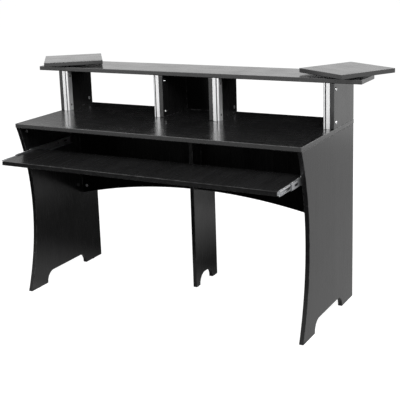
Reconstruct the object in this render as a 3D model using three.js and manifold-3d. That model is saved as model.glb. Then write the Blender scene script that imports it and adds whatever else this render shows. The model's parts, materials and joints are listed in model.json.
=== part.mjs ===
// A studio desk of black wood-grain board. Two arched side panels and a centre leg carry the worktop, four
// dividers carry the top shelf, metal rack rails stand beside them, a keyboard tray runs out on ball slides,
// and two square speaker platforms swivel on the ends of the shelf.
// Sizes are millimetres, +Z is up and +Y is the back. The pieces are placed from the middle of the worktop's
// front edge at floor level, and the finished desk is moved so that its box stands centred on the origin.
import * as THREE from "three";
import { mergeVertices } from "three/addons/utils/BufferGeometryUtils.js";
import Module from "manifold-3d";

const wasm = await Module();
wasm.setup();

// Boards
const boardThickness = 18;
const seatGap = 0.3; // between pieces that touch

// Bays under the top shelf, which set the width of the desk
const rackBayWidth = 512;
const centreBayWidth = 224;
const bayHeight = 182;

// Worktop
const worktopHeight = 771; // from the floor to its upper face
const worktopDepth = 560;
const worktopOverhang = 4; // past the boards that end behind it

// Side panels
const panelFrontInset = 4; // of the arch's two ends behind the worktop's front edge
const panelArchDepth = 70;
const panelFrontFoot = 122;
const panelRearFoot = 130;

// Notches between the feet of the side panels and of the centre leg
const footNotchHeight = 50.5;
const footNotchRadius = 45;

// Centre leg
const legFrontReach = 75; // in front of the modesty panels
const legFrontFoot = 35;
const legRearFoot = 48;

// Modesty panels
const modestyRearInset = 105; // from the backs of the side panels
const modestyEndHeight = 352; // from the floor to the arch's ends
const modestyArchRise = 81;

// Glides under the feet
const glideHeight = 1.5;
const glideInset = 1; // inside the board's faces
const glideChamfer = 1;

// Top shelf and the dividers under it
const shelfDepth = 225;
const shelfOverhang = 110; // past the outer dividers
const shelfCornerCut = 75;

// Rack rails, which leave 19 inch gear its width between them
const railWidth = 28;
const railDepth = 33;
const railWall = 2;
const railSlotMiddle = 17.5; // from the side that lies on the divider
const railSlotWidth = 5; // for the screws of the gear
const nutChannelWidth = 9;
const nutChannelDepth = 4;

// Screws through the dividers into the rails
const railScrewInset = 25; // from the ends of the rail
const railScrewSetback = 20; // behind the front edge of the divider
const screwDiameter = 6;
const screwHeadDiameter = 14;
const screwHeadHeight = 3.5;
const screwReach = 6; // past the wall of the rail
const screwClearance = 0.3;

// Keyboard tray and its slides
const trayDepth = 250;
const trayHeadroom = 113; // under the worktop
const traySetback = 60; // of the closed tray behind the worktop's front edge
const trayDrawnOut = 200;
const slideWidth = 16.4;
const slideHeight = 35;
const slideMetal = 1.5;
const slideRearGap = 73; // in front of the modesty panels
const memberClearance = 1.5; // between the webs and flange tips of the members
const ballRowHeight = 2.2;
const ballRowWidth = 3.5;

// Speaker platforms and their turntables
const platformSize = 265;
const platformEndInset = 105; // of its pivot from the end of the shelf
const platformPivotSetback = 124; // behind the front edge of the shelf
const platformTurn = { left: 36, right: -31 }; // degrees, seen from above
const turntableHeight = 6.4;
const turntablePlateSize = 100;
const turntablePlateMetal = 1.5;
const turntableRaceRadius = 30;
const turntableRaceWall = 6;
const turntableRaceGap = 0.5; // between the two races

// Cam fittings that draw the boards together
const camDiameter = 15;
const camFloor = 5.5; // board left behind the cam
const camInset = 25; // from the edge that it draws in
const camBoltDiameter = 7;
const camBoltCover = 7; // board left beyond the bolt's end
const camClearance = 0.3;
const panelCamFront = 50; // from the panel's front corner
const panelCamRear = 75; // from the panel's back edge
const modestyCamHeight = 32; // above the arch
const modestyInnerCamDrop = { left: 60, right: 100 }; // below the worktop
const legCamFront = 40; // from the leg's front edge

// Cutting and drawing
const cutOverrun = 1;
const mergeTolerance = 0.0001;
const axesPerPoint = 3;
const archSegments = 16;
const roundSegments = 24;
const smallRoundSegments = 12;
const domeSegments = 4;

// Places worked out from the sizes
const cavityHalf = rackBayWidth + centreBayWidth / 2 + boardThickness; // middle to a side panel's inner face
const deskHalf = cavityHalf + boardThickness;
const backY = worktopDepth - worktopOverhang;
const worktopUnderside = worktopHeight - boardThickness;
const carcassTop = worktopUnderside - seatGap;
const footZ = glideHeight + seatGap;
const modestyY = backY - modestyRearInset - boardThickness;
const legY = modestyY - legFrontReach;
const bayFrontY = backY - shelfDepth;
const bayTop = worktopHeight + bayHeight;
const shelfTop = bayTop + boardThickness;
const shelfHalf = deskHalf + shelfOverhang;
const railScrewY = bayFrontY + railScrewSetback;
const trayTop = worktopUnderside - trayHeadroom;
const trayHalf = cavityHalf - slideWidth - 2 * seatGap;
const slideZ = trayTop - boardThickness / 2;
const slideLength = modestyY - slideRearGap - traySetback;

const sides = [
  { name: "left", sign: -1 },
  { name: "right", sign: 1 },
];
const dividers = [
  { name: "outer_left", middle: -(deskHalf - boardThickness / 2), bayWay: 1 },
  { name: "inner_left", middle: -(centreBayWidth + boardThickness) / 2, bayWay: -1 },
  { name: "inner_right", middle: (centreBayWidth + boardThickness) / 2, bayWay: 1 },
  { name: "outer_right", middle: deskHalf - boardThickness / 2, bayWay: -1 },
];

const axisX = new THREE.Vector3(1, 0, 0);
const axisY = new THREE.Vector3(0, 1, 0);
const axisZ = new THREE.Vector3(0, 0, 1);

// Finishes seen on the desk
const blackBoard = { color: 0x1d1d1e, roughness: 0.5, metalness: 0 };
const brightMetal = { color: 0xd6d6d8, roughness: 0.14, metalness: 1 };
const zincSteel = { color: 0x9c9da0, roughness: 0.38, metalness: 1 };
const nickelPlate = { color: 0xcfcfcf, roughness: 0.2, metalness: 1 };
const blackPlastic = { color: 0x101010, roughness: 0.6, metalness: 0 };

const desk = new THREE.Group();
const boards = {};

// A named piece with its own material.
function piece(name, geometry, finish) {
  const mesh = new THREE.Mesh(geometry, new THREE.MeshStandardMaterial(finish));
  mesh.name = name;
  return mesh;
}

// A closed geometry as a solid that can be joined and cut.
function solidOf(geometry) {
  const bare = geometry.clone();
  bare.deleteAttribute("normal");
  bare.deleteAttribute("uv");
  const merged = mergeVertices(bare, mergeTolerance);
  return new wasm.Manifold(
    new wasm.Mesh({
      numProp: axesPerPoint,
      vertProperties: merged.attributes.position.array,
      triVerts: new Uint32Array(merged.index.array),
    }),
  );
}

// A solid's surface as a geometry with flat faces.
function geometryOf(solid) {
  const { vertProperties, triVerts } = solid.getMesh();
  const surface = new THREE.BufferGeometry();
  surface.setAttribute("position", new THREE.BufferAttribute(vertProperties, axesPerPoint));
  surface.setIndex([...triVerts]);
  const faceted = surface.toNonIndexed();
  faceted.computeVertexNormals();
  return faceted;
}

// One geometry from several that overlap.
function joined(...geometries) {
  const solids = geometries.map(solidOf);
  return geometryOf(solids.reduce((whole, part) => whole.add(part)));
}

// Cuts a hole, given in the desk's frame, out of a piece.
function pierce(mesh, hole) {
  mesh.updateMatrix();
  const local = hole.clone().applyMatrix4(mesh.matrix.clone().invert());
  mesh.geometry = geometryOf(solidOf(mesh.geometry).subtract(solidOf(local)));
}

// A block between two corners.
function block(low, high) {
  const size = high.clone().sub(low);
  const middle = low.clone().add(high).divideScalar(2);
  return new THREE.BoxGeometry(size.x, size.y, size.z).translate(middle.x, middle.y, middle.z);
}

// A cylinder along +Y that starts at the origin.
function rod(diameter, length, segments) {
  return new THREE.CylinderGeometry(diameter / 2, diameter / 2, length, segments).translate(0, length / 2, 0);
}

// A cylinder that goes down from the origin along -Z and stands up from it by a lip.
function plug(diameter, depth, lip) {
  return rod(diameter, depth + lip, roundSegments).rotateX(Math.PI / 2).translate(0, 0, -depth);
}

// A tube along +Z between two heights, in the given place.
function tube(innerRadius, outerRadius, low, high, x = 0, y = 0) {
  const profile = [
    new THREE.Vector2(innerRadius, low),
    new THREE.Vector2(outerRadius, low),
    new THREE.Vector2(outerRadius, high),
    new THREE.Vector2(innerRadius, high),
    new THREE.Vector2(innerRadius, low),
  ];
  return new THREE.LatheGeometry(profile, roundSegments).rotateX(Math.PI / 2).translate(x, y, 0);
}

// A board whose outline lies in the plane of two axes, from a place on its first face.
function board(name, outline, across, up, place) {
  const geometry = new THREE.ExtrudeGeometry(outline, {
    depth: boardThickness,
    bevelEnabled: false,
    curveSegments: archSegments,
  });
  const mesh = piece(name, geometry, blackBoard);
  const out = across.clone().cross(up);
  mesh.applyMatrix4(new THREE.Matrix4().makeBasis(across, up, out).setPosition(place));
  boards[name] = mesh;
  desk.add(mesh);
}

// A rectangular board between two corners.
function slab(name, low, high) {
  const size = high.clone().sub(low);
  const mesh = piece(name, block(new THREE.Vector3(), size), blackBoard);
  mesh.position.copy(low);
  boards[name] = mesh;
  desk.add(mesh);
}

// The radius of an arc from its chord and its rise.
function arcRadius(chord, rise) {
  return ((chord * chord) / 4 + rise * rise) / (2 * rise);
}

// An upright board's outline on two feet, with a notch between them and an arched or straight front.
function footedOutline(depth, frontFoot, rearFoot, archDepth) {
  const height = carcassTop - footZ;
  const notchStart = frontFoot;
  const notchEnd = depth - rearFoot;
  const notchSide = footNotchHeight - footNotchRadius;
  const outline = new THREE.Shape();
  outline.moveTo(0, 0);
  outline.lineTo(notchStart, 0);
  outline.lineTo(notchStart, notchSide);
  outline.absarc(notchStart + footNotchRadius, notchSide, footNotchRadius, Math.PI, Math.PI / 2, true);
  outline.lineTo(notchEnd - footNotchRadius, footNotchHeight);
  outline.absarc(notchEnd - footNotchRadius, notchSide, footNotchRadius, Math.PI / 2, 0, true);
  outline.lineTo(notchEnd, 0);
  outline.lineTo(depth, 0);
  outline.lineTo(depth, height);
  outline.lineTo(0, height);
  if (archDepth > 0) {
    const radius = arcRadius(height, archDepth);
    const spread = Math.asin(height / 2 / radius);
    outline.absarc(archDepth - radius, height / 2, radius, spread, -spread, true);
  }
  return outline;
}

// The two side panels, which stand under the worktop's ends.
function addSidePanels() {
  const depth = backY - panelFrontInset;
  const outline = footedOutline(depth, panelFrontFoot, panelRearFoot, panelArchDepth);
  for (const side of sides) {
    const innerX = side.sign < 0 ? -deskHalf : cavityHalf;
    const place = new THREE.Vector3(innerX, panelFrontInset, footZ);
    board("side_panel_" + side.name, outline, axisY, axisZ, place);
  }
}

// The centre leg, which stands across the middle between the modesty panels.
function addCentreLeg() {
  const outline = footedOutline(backY - legY, legFrontFoot, legRearFoot, 0);
  board("centre_leg", outline, axisY, axisZ, new THREE.Vector3(-boardThickness / 2, legY, footZ));
}

// The height of the modesty panels' arch at a distance from the middle.
function modestyArch(x) {
  const radius = arcRadius(2 * cavityHalf, modestyArchRise);
  const centreZ = modestyEndHeight + modestyArchRise - radius;
  return { radius, centreZ, angle: Math.acos(x / radius), height: centreZ + Math.sqrt(radius ** 2 - x ** 2) };
}

// The two modesty panels, whose lower edges make one arch across the desk.
function addModestyPanels() {
  const legSide = boardThickness / 2 + seatGap;
  const panelSide = cavityHalf - seatGap;
  for (const side of sides) {
    const ends = [side.sign * legSide, side.sign * panelSide].sort((a, b) => a - b);
    const start = modestyArch(ends[0]);
    const end = modestyArch(ends[1]);
    const outline = new THREE.Shape();
    outline.moveTo(ends[1], carcassTop);
    outline.lineTo(ends[0], carcassTop);
    outline.lineTo(ends[0], start.height);
    outline.absarc(0, start.centreZ, start.radius, start.angle, end.angle, true);
    const place = new THREE.Vector3(0, modestyY + boardThickness, 0);
    board("modesty_panel_" + side.name, outline, axisX, axisZ, place);
  }
}

// The worktop, which lies on the side panels and the leg.
function addWorktop() {
  const low = new THREE.Vector3(-deskHalf, 0, worktopUnderside);
  slab("worktop", low, new THREE.Vector3(deskHalf, worktopDepth, worktopHeight));
}

// The four dividers between the worktop and the shelf, and the board that closes the centre bay behind.
function addDividers() {
  const bottom = worktopHeight + seatGap;
  const top = bayTop - seatGap;
  for (const divider of dividers) {
    const low = new THREE.Vector3(divider.middle - boardThickness / 2, bayFrontY, bottom);
    const high = new THREE.Vector3(divider.middle + boardThickness / 2, backY, top);
    slab("divider_" + divider.name, low, high);
  }
  const backHalf = centreBayWidth / 2 - seatGap;
  const low = new THREE.Vector3(-backHalf, backY - boardThickness, bottom);
  slab("centre_bay_back", low, new THREE.Vector3(backHalf, backY, top));
}

// The top shelf, with its two back corners cut off.
function addTopShelf() {
  const outline = new THREE.Shape([
    new THREE.Vector2(-shelfHalf, bayFrontY),
    new THREE.Vector2(shelfHalf, bayFrontY),
    new THREE.Vector2(shelfHalf, backY - shelfCornerCut),
    new THREE.Vector2(shelfHalf - shelfCornerCut, backY),
    new THREE.Vector2(shelfCornerCut - shelfHalf, backY),
    new THREE.Vector2(-shelfHalf, backY - shelfCornerCut),
  ]);
  board("top_shelf", outline, axisX, axisY, new THREE.Vector3(0, 0, bayTop));
}

// A rail screw along +Z: a domed head above the origin and a shank below it.
function screwShape(shankLength) {
  const headRadius = screwHeadDiameter / 2;
  const profile = [
    new THREE.Vector2(0, -shankLength),
    new THREE.Vector2(screwDiameter / 2, -shankLength),
    new THREE.Vector2(screwDiameter / 2, seatGap),
  ];
  for (let step = 0; step <= domeSegments; step += 1) {
    const angle = (Math.PI / 2) * (step / domeSegments);
    const r = step < domeSegments ? headRadius * Math.cos(angle) : 0;
    profile.push(new THREE.Vector2(r, seatGap + screwHeadHeight * Math.sin(angle)));
  }
  return new THREE.LatheGeometry(profile, smallRoundSegments).rotateX(Math.PI / 2);
}

// A rail's section: a square tube whose front has a slot with a channel for nuts behind it.
// Its points are distances into the bay from the divider, and behind the rail's front.
function railSection(bayWay) {
  const slotStart = railSlotMiddle - railSlotWidth / 2;
  const slotEnd = railSlotMiddle + railSlotWidth / 2;
  const channelStart = railSlotMiddle - nutChannelWidth / 2;
  const channelEnd = railSlotMiddle + nutChannelWidth / 2;
  const channelFloor = railWall + nutChannelDepth;
  const stepStart = channelStart - railWall;
  const stepEnd = channelEnd + railWall;
  const hollowEnd = railWidth - railWall;
  const hollowFront = channelFloor + railWall;
  const hollowBack = railDepth - railWall;
  const skin = [
    [0, 0], [slotStart, 0], [slotStart, railWall], [channelStart, railWall], [channelStart, channelFloor],
    [channelEnd, channelFloor], [channelEnd, railWall], [slotEnd, railWall], [slotEnd, 0], [railWidth, 0],
    [railWidth, railDepth], [0, railDepth],
  ];
  const hollow = [
    [railWall, railWall], [railWall, hollowBack], [hollowEnd, hollowBack], [hollowEnd, railWall],
    [stepEnd, railWall], [stepEnd, hollowFront], [stepStart, hollowFront], [stepStart, railWall],
  ];
  const point = ([from, behind]) => new THREE.Vector2(bayWay * from, behind);
  const section = new THREE.Shape(skin.map(point));
  section.holes.push(new THREE.Path(hollow.map(point)));
  return section;
}

// The four rack rails, each beside its divider on the bay's side, and the two screws that hold each.
function addRackRails() {
  const shankLength = boardThickness + railWall + screwReach;
  const hole = rod(screwDiameter + 2 * screwClearance, shankLength + cutOverrun, smallRoundSegments)
    .rotateX(-Math.PI / 2)
    .translate(0, 0, cutOverrun);
  const levels = [
    { name: "lower", z: worktopHeight + railScrewInset },
    { name: "upper", z: bayTop - railScrewInset },
  ];
  for (const divider of dividers) {
    const x = divider.middle + divider.bayWay * (boardThickness / 2 + seatGap);
    const settings = { depth: bayHeight - 2 * seatGap, bevelEnabled: false };
    const shape = new THREE.ExtrudeGeometry(railSection(divider.bayWay), settings);
    const rail = piece("rack_rail_" + divider.name, shape, brightMetal);
    rail.position.set(x, bayFrontY, worktopHeight + seatGap);
    desk.add(rail);
    for (const level of levels) {
      const out = axisX.clone().multiplyScalar(-divider.bayWay);
      const headFace = new THREE.Vector3(divider.middle + (out.x * boardThickness) / 2, railScrewY, level.z);
      const across = axisY.clone().cross(out);
      const place = new THREE.Matrix4().makeBasis(across, axisY, out).setPosition(headFace);
      const name = "rail_screw_" + divider.name + "_" + level.name;
      const screw = piece(name, screwShape(shankLength), nickelPlate);
      screw.applyMatrix4(place);
      desk.add(screw);
      const drilled = hole.clone().applyMatrix4(place);
      pierce(boards["divider_" + divider.name], drilled);
      pierce(rail, drilled);
    }
  }
}

// A cam fitting: a disc let into a board's face, and the bolt that it draws in from the next board.
// The disc faces +Z at the origin and the bolt runs along +Y at the board's mid thickness.
function camShape(clearance, lip) {
  const disc = plug(camDiameter + 2 * clearance, boardThickness - camFloor + clearance, lip);
  const boltLength = camInset + boardThickness - camBoltCover + clearance;
  const bolt = rod(camBoltDiameter + 2 * clearance, boltLength, smallRoundSegments);
  return joined(disc, bolt.translate(0, 0, -boardThickness / 2));
}

// Puts a cam fitting in a board, facing one way and drawing another way into the next board.
function addCam(name, holder, next, x, y, z, facing, drawing) {
  const across = drawing.clone().cross(facing);
  const place = new THREE.Matrix4().makeBasis(across, drawing, facing).setPosition(x, y, z);
  const cam = piece("cam_" + name, camShape(0, 0), zincSteel);
  cam.applyMatrix4(place);
  desk.add(cam);
  const socket = camShape(camClearance, cutOverrun).applyMatrix4(place);
  pierce(boards[holder], socket);
  pierce(boards[next], socket);
}

// The cam fittings of the dividers, side panels, modesty panels and leg.
function addCams() {
  const up = axisZ;
  const down = axisZ.clone().negate();
  const forward = axisY.clone().negate();
  for (const divider of dividers) {
    const holder = "divider_" + divider.name;
    const facing = axisX.clone().multiplyScalar(divider.bayWay);
    const faceX = divider.middle + (divider.bayWay * boardThickness) / 2;
    const y = backY - camInset;
    const lowZ = worktopHeight + camInset;
    addCam(holder + "_lower", holder, "worktop", faceX, y, lowZ, facing, down);
    addCam(holder + "_upper", holder, "top_shelf", faceX, y, bayTop - camInset, facing, up);
  }
  const panelCamZ = worktopUnderside - camInset;
  for (const side of sides) {
    const panel = "side_panel_" + side.name;
    const modesty = "modesty_panel_" + side.name;
    const inward = axisX.clone().multiplyScalar(-side.sign);
    const outward = axisX.clone().multiplyScalar(side.sign);
    const faceX = side.sign * cavityHalf;
    const frontY = panelFrontInset + panelCamFront;
    addCam(panel + "_front", panel, "worktop", faceX, frontY, panelCamZ, inward, up);
    addCam(panel + "_rear", panel, "worktop", faceX, backY - panelCamRear, panelCamZ, inward, up);
    const outerX = side.sign * (cavityHalf - camInset);
    const outerZ = modestyArch(outerX).height + modestyCamHeight;
    addCam(modesty + "_outer", modesty, panel, outerX, modestyY, outerZ, forward, outward);
    const innerX = side.sign * (boardThickness / 2 + camInset);
    const innerZ = worktopUnderside - modestyInnerCamDrop[side.name];
    addCam(modesty + "_inner", modesty, "centre_leg", innerX, modestyY, innerZ, forward, inward);
  }
  const legFaceX = boardThickness / 2;
  addCam("centre_leg", "centre_leg", "worktop", legFaceX, legY + legCamFront, panelCamZ, axisX, up);
}

// A plastic glide under each foot.
function addGlides() {
  const radius = boardThickness / 2 - glideInset;
  const panelX = deskHalf - boardThickness / 2;
  const panelRearY = backY - panelRearFoot / 2;
  const places = {
    left_front: [-panelX, panelFrontInset + panelFrontFoot / 2],
    left_rear: [-panelX, panelRearY],
    right_front: [panelX, panelFrontInset + panelFrontFoot / 2],
    right_rear: [panelX, panelRearY],
    centre_front: [0, legY + legFrontFoot / 2],
    centre_rear: [0, backY - legRearFoot / 2],
  };
  const profile = [
    new THREE.Vector2(0, 0),
    new THREE.Vector2(radius - glideChamfer, 0),
    new THREE.Vector2(radius, glideChamfer),
    new THREE.Vector2(radius, glideHeight),
    new THREE.Vector2(0, glideHeight),
  ];
  for (const [name, [x, y]] of Object.entries(places)) {
    const shape = new THREE.LatheGeometry(profile, smallRoundSegments).rotateX(Math.PI / 2);
    const glide = piece("glide_" + name, shape, blackPlastic);
    glide.position.set(x, y, 0);
    desk.add(glide);
  }
}

// The outline of a slide member's channel: a web, two flanges and the ball rows that stand on them.
// Its points are distances from the side panel's inner face, and heights from the slide's middle.
function channelOutline(web, tip, half, row) {
  const inner = web + Math.sign(tip - web) * slideMetal;
  const thin = half - slideMetal;
  const upper = [[web, half]];
  if (row) {
    const start = row.middle - (Math.sign(tip - web) * ballRowWidth) / 2;
    const end = row.middle + (Math.sign(tip - web) * ballRowWidth) / 2;
    upper.push([start, half], [start, row.reach], [end, row.reach], [end, half]);
  }
  upper.push([tip, half], [tip, thin], [inner, thin]);
  const lower = upper.map(([from, z]) => [from, -z]).reverse();
  return [...upper, ...lower];
}

// The three members of each slide, nested one in the next, and the tray between them.
function addTray() {
  const outerWeb = seatGap;
  const innerWeb = seatGap + slideWidth;
  const middleWeb = outerWeb + slideMetal + memberClearance;
  const innerTip = middleWeb + slideMetal + memberClearance;
  const middleTip = innerWeb - slideMetal - memberClearance;
  const outerTip = middleTip - memberClearance;
  const outerHalf = slideHeight / 2;
  const middleReach = outerHalf - slideMetal - seatGap;
  const middleHalf = middleReach - ballRowHeight;
  const innerReach = middleHalf - slideMetal - seatGap;
  const innerHalf = innerReach - ballRowHeight;
  const middleRow = { middle: (middleWeb + outerTip) / 2, reach: middleReach };
  const innerRow = { middle: (innerTip + middleTip) / 2, reach: innerReach };
  const members = [
    { name: "outer", drawnOut: 0, section: [outerWeb, outerTip, outerHalf] },
    { name: "middle", drawnOut: trayDrawnOut / 2, section: [middleWeb, middleTip, middleHalf, middleRow] },
    { name: "inner", drawnOut: trayDrawnOut, section: [innerWeb, innerTip, innerHalf, innerRow] },
  ];
  const back = axisY.clone().negate();
  for (const side of sides) {
    for (const member of members) {
      const outline = channelOutline(...member.section);
      const points = outline.map(([from, z]) => new THREE.Vector2(-side.sign * from, z));
      const settings = { depth: slideLength, bevelEnabled: false };
      const shape = new THREE.ExtrudeGeometry(new THREE.Shape(points), settings);
      const mesh = piece("slide_" + member.name + "_" + side.name, shape, zincSteel);
      const place = new THREE.Matrix4().makeBasis(axisX, axisZ, back);
      place.setPosition(side.sign * cavityHalf, traySetback - member.drawnOut + slideLength, slideZ);
      mesh.applyMatrix4(place);
      desk.add(mesh);
    }
  }
  const frontY = traySetback - trayDrawnOut;
  const low = new THREE.Vector3(-trayHalf, frontY, trayTop - boardThickness);
  slab("keyboard_tray", low, new THREE.Vector3(trayHalf, frontY + trayDepth, trayTop));
}

// One half of a turntable: a square plate between two heights, joined to a round race.
function turntableShape(plateLow, plateHigh, raceInner, raceOuter, raceLow, raceHigh) {
  const half = turntablePlateSize / 2;
  const plate = block(new THREE.Vector3(-half, -half, plateLow), new THREE.Vector3(half, half, plateHigh));
  return joined(plate, tube(raceInner, raceOuter, raceLow, raceHigh));
}

// The turntables on the shelf and the platforms that they carry, turned in towards the sitter.
function addPlatforms() {
  const topPlateZ = turntableHeight - turntablePlateMetal;
  const raceInner = turntableRaceRadius - turntableRaceWall;
  const wallInner = turntableRaceRadius + turntableRaceGap;
  const wallOuter = wallInner + turntableRaceWall;
  const baseRace = [raceInner, turntableRaceRadius, 0, topPlateZ - seatGap];
  const topRace = [wallInner, wallOuter, turntablePlateMetal + seatGap, turntableHeight];
  const half = platformSize / 2;
  for (const side of sides) {
    const stand = new THREE.Group();
    const x = side.sign * (shelfHalf - platformEndInset);
    stand.position.set(x, bayFrontY + platformPivotSetback, shelfTop + seatGap);
    const baseShape = turntableShape(0, turntablePlateMetal, ...baseRace);
    stand.add(piece("turntable_base_" + side.name, baseShape, zincSteel));
    const turning = new THREE.Group();
    turning.rotation.z = THREE.MathUtils.degToRad(platformTurn[side.name]);
    const topShape = turntableShape(topPlateZ, turntableHeight, ...topRace);
    turning.add(piece("turntable_top_" + side.name, topShape, zincSteel));
    const low = new THREE.Vector3(-half, -half, 0);
    const shape = block(low, new THREE.Vector3(half, half, boardThickness));
    const platform = piece("speaker_platform_" + side.name, shape, blackBoard);
    platform.position.z = turntableHeight + seatGap;
    turning.add(platform);
    stand.add(turning);
    desk.add(stand);
  }
}

addSidePanels();
addCentreLeg();
addModestyPanels();
addWorktop();
addDividers();
addTopShelf();
addRackRails();
addCams();
addGlides();
addTray();
addPlatforms();

// The desk's box stands centred on the origin, on the floor.
const box = new THREE.Box3().setFromObject(desk, true);
const middle = box.getCenter(new THREE.Vector3());
desk.position.set(-middle.x, -middle.y, -box.min.z);

export default desk;
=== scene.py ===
"""The looks of a studio desk of black wood-grain board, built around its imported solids.

Every piece is a surface worked out with numpy in millimetres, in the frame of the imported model, and takes the
place of the solid whose name it carries. Boards have softened arrises, a laminate face and an edge band.
Rails, screws, cams, slides and turntables have their real sections, holes and balls.
"""
from __future__ import annotations

import json
import logging
import math
from dataclasses import dataclass, field
from enum import Enum

import bmesh
import bpy
import numpy as np
from mathutils import Matrix, Vector
from mathutils.geometry import tessellate_polygon

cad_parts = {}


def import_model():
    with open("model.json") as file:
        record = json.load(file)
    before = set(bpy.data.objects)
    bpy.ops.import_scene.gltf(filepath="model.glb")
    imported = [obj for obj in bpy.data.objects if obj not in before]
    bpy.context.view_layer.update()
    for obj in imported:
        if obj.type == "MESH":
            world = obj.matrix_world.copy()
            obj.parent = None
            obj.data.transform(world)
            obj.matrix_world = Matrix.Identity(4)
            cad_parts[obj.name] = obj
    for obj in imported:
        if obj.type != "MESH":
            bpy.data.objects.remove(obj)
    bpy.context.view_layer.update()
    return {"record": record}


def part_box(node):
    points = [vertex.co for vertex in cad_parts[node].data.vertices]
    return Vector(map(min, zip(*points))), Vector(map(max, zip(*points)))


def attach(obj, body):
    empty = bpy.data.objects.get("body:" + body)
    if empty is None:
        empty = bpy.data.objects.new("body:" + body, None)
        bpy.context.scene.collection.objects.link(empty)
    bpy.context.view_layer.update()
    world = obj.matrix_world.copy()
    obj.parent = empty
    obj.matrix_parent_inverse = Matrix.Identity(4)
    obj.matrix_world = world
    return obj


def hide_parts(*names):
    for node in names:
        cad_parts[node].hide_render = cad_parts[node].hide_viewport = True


LOG = logging.getLogger("studio_desk")
MM = 0.001
GRAIN = "grain"
GRAIN_STRIDE = np.array([3.71, 1.93, 0.87])
LAMINATE_FACE = 0
EDGE_BAND = 1
MAIN_FINISH = 0
SECOND_FINISH = 1
THIRD_FINISH = 2
SHARP_ANGLE = math.radians(34)
WELD = 1e-6
LARGE_RADIUS = 5.0
LARGE_ARC_FACTOR = 4
BALL_RINGS = 6
BALL_SIDES = 8
WHITE = (1.0, 1.0, 1.0)
Rgb = tuple[float, float, float]
Pair = tuple[float, float]
Triple = tuple[float, float, float]
Material = bpy.types.Material
Node = bpy.types.Node
Socket = bpy.types.NodeSocket
Value = float | Rgb | Socket
X = np.array([1.0, 0.0, 0.0])
Y = np.array([0.0, 1.0, 0.0])
Z = np.array([0.0, 0.0, 1.0])
BOARD_ORDER = (
    "side_panel_left", "side_panel_right", "centre_leg", "modesty_panel_left", "modesty_panel_right",
    "worktop", "divider_outer_left", "divider_inner_left", "divider_inner_right", "divider_outer_right",
    "centre_bay_back", "top_shelf", "keyboard_tray", "speaker_platform_left", "speaker_platform_right",
)


class Side(Enum):
    """The two ends of the desk, as the sitter sees them."""

    LEFT = "left"
    RIGHT = "right"

    @property
    def sign(self) -> int:
        """The direction of this end along X."""
        return -1 if self is Side.LEFT else 1


class Divider(Enum):
    """The four dividers, each with the direction of its rack bay along X."""

    OUTER_LEFT = ("outer_left", 1)
    INNER_LEFT = ("inner_left", -1)
    INNER_RIGHT = ("inner_right", 1)
    OUTER_RIGHT = ("outer_right", -1)

    @property
    def label(self) -> str:
        """The words that name this divider's pieces."""
        return self.value[0]

    @property
    def bay_way(self) -> int:
        """The direction of the rack bay along X."""
        return self.value[1]


class Slot(Enum):
    """The record's finishes."""

    BOARD = "black_board"
    RAIL = "bright_rail"
    SCREW = "nickel_screw"
    CAM = "zinc_cam"
    SLIDE = "zinc_slide"
    PLASTIC = "black_plastic"


def node_box(node: str) -> tuple[np.ndarray, np.ndarray]:
    """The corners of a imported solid.

    Args:
        node: the solid's name.

    Returns:
        Its lowest and highest corners in millimetres.
    """
    low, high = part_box(node)
    return np.array(low) / MM, np.array(high) / MM


def circle(radius: float, steps: int, centre: Pair = (0.0, 0.0)) -> np.ndarray:
    """A closed ring of points: centre plus radius times the cosine and sine of equal angles.

    Args:
        radius: the ring's radius.
        steps: how many points it has.
        centre: its middle.

    Returns:
        The points, counterclockwise, one row each.
    """
    angle = np.linspace(0.0, 2 * math.pi, steps, endpoint=False)
    return np.stack([centre[0] + radius * np.cos(angle), centre[1] + radius * np.sin(angle)], axis=1)


def cam_centre(node: str, drawing: np.ndarray, radius: float) -> np.ndarray:
    """The middle of a cam's disc: the solid's middle, but one radius from the end that its bolt leaves.

    Args:
        node: the cam's name.
        drawing: the direction that its bolt runs.
        radius: the disc's radius.

    Returns:
        The point in millimetres.
    """
    low, high = node_box(node)
    end = np.where(drawing > 0, low, high)
    return np.where(drawing == 0, (low + high) / 2, end + drawing * radius)


def square(reach: float) -> list[Pair]:
    """The corners of a square round the origin, counterclockwise, each this far from both axes."""
    return [(-reach, -reach), (reach, -reach), (reach, reach), (-reach, reach)]


def soften(corners: list[Triple], steps: int = 4, support: float = 1.2) -> np.ndarray:
    """Rounds the corners of a closed outline.

    A corner of radius r that turns by t starts r tan(t/2) before its point and is the arc whose centre lies r
    to the inner side of that start. A point stands at a short distance on each side of the arc, so that the
    flats next to it are shaded flat. A corner of radius 0 stays one point.

    Args:
        corners: x, y and radius of each corner, counterclockwise.
        steps: the spans of each small arc; one of a large radius gets a few times as many.
        support: how far from the arc the extra points stand.

    Returns:
        The outline's points, one row each.
    """
    table = np.array(corners)
    points = table[:, :2]
    ahead = np.roll(points, -1, axis=0) - points
    lengths = np.linalg.norm(ahead, axis=1, keepdims=True)
    leaving = ahead / lengths
    arriving = np.roll(leaving, 1, axis=0)
    turn = np.arctan2(
        arriving[:, 0] * leaving[:, 1] - arriving[:, 1] * leaving[:, 0], np.sum(arriving * leaving, axis=1)
    )
    pieces = []
    for point, radius, into, out, angle in zip(points, table[:, 2], arriving, leaving, turn):
        if radius == 0:
            pieces.append(point[None])
            continue
        reach = radius * math.tan(abs(angle) / 2)
        way = math.copysign(1.0, angle)
        centre = point - into * reach + way * radius * np.array([-into[1], into[0]])
        count = steps if radius < LARGE_RADIUS else steps * LARGE_ARC_FACTOR
        swing = np.linspace(0.0, angle, count + 1)[:, None]
        arm = point - into * reach - centre
        across = np.array([-arm[1], arm[0]])
        arc = centre + np.cos(swing) * arm + np.sin(swing) * across
        pieces += [(point - into * (reach + support))[None], arc, (point + out * (reach + support))[None]]
    return np.concatenate(pieces)


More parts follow.
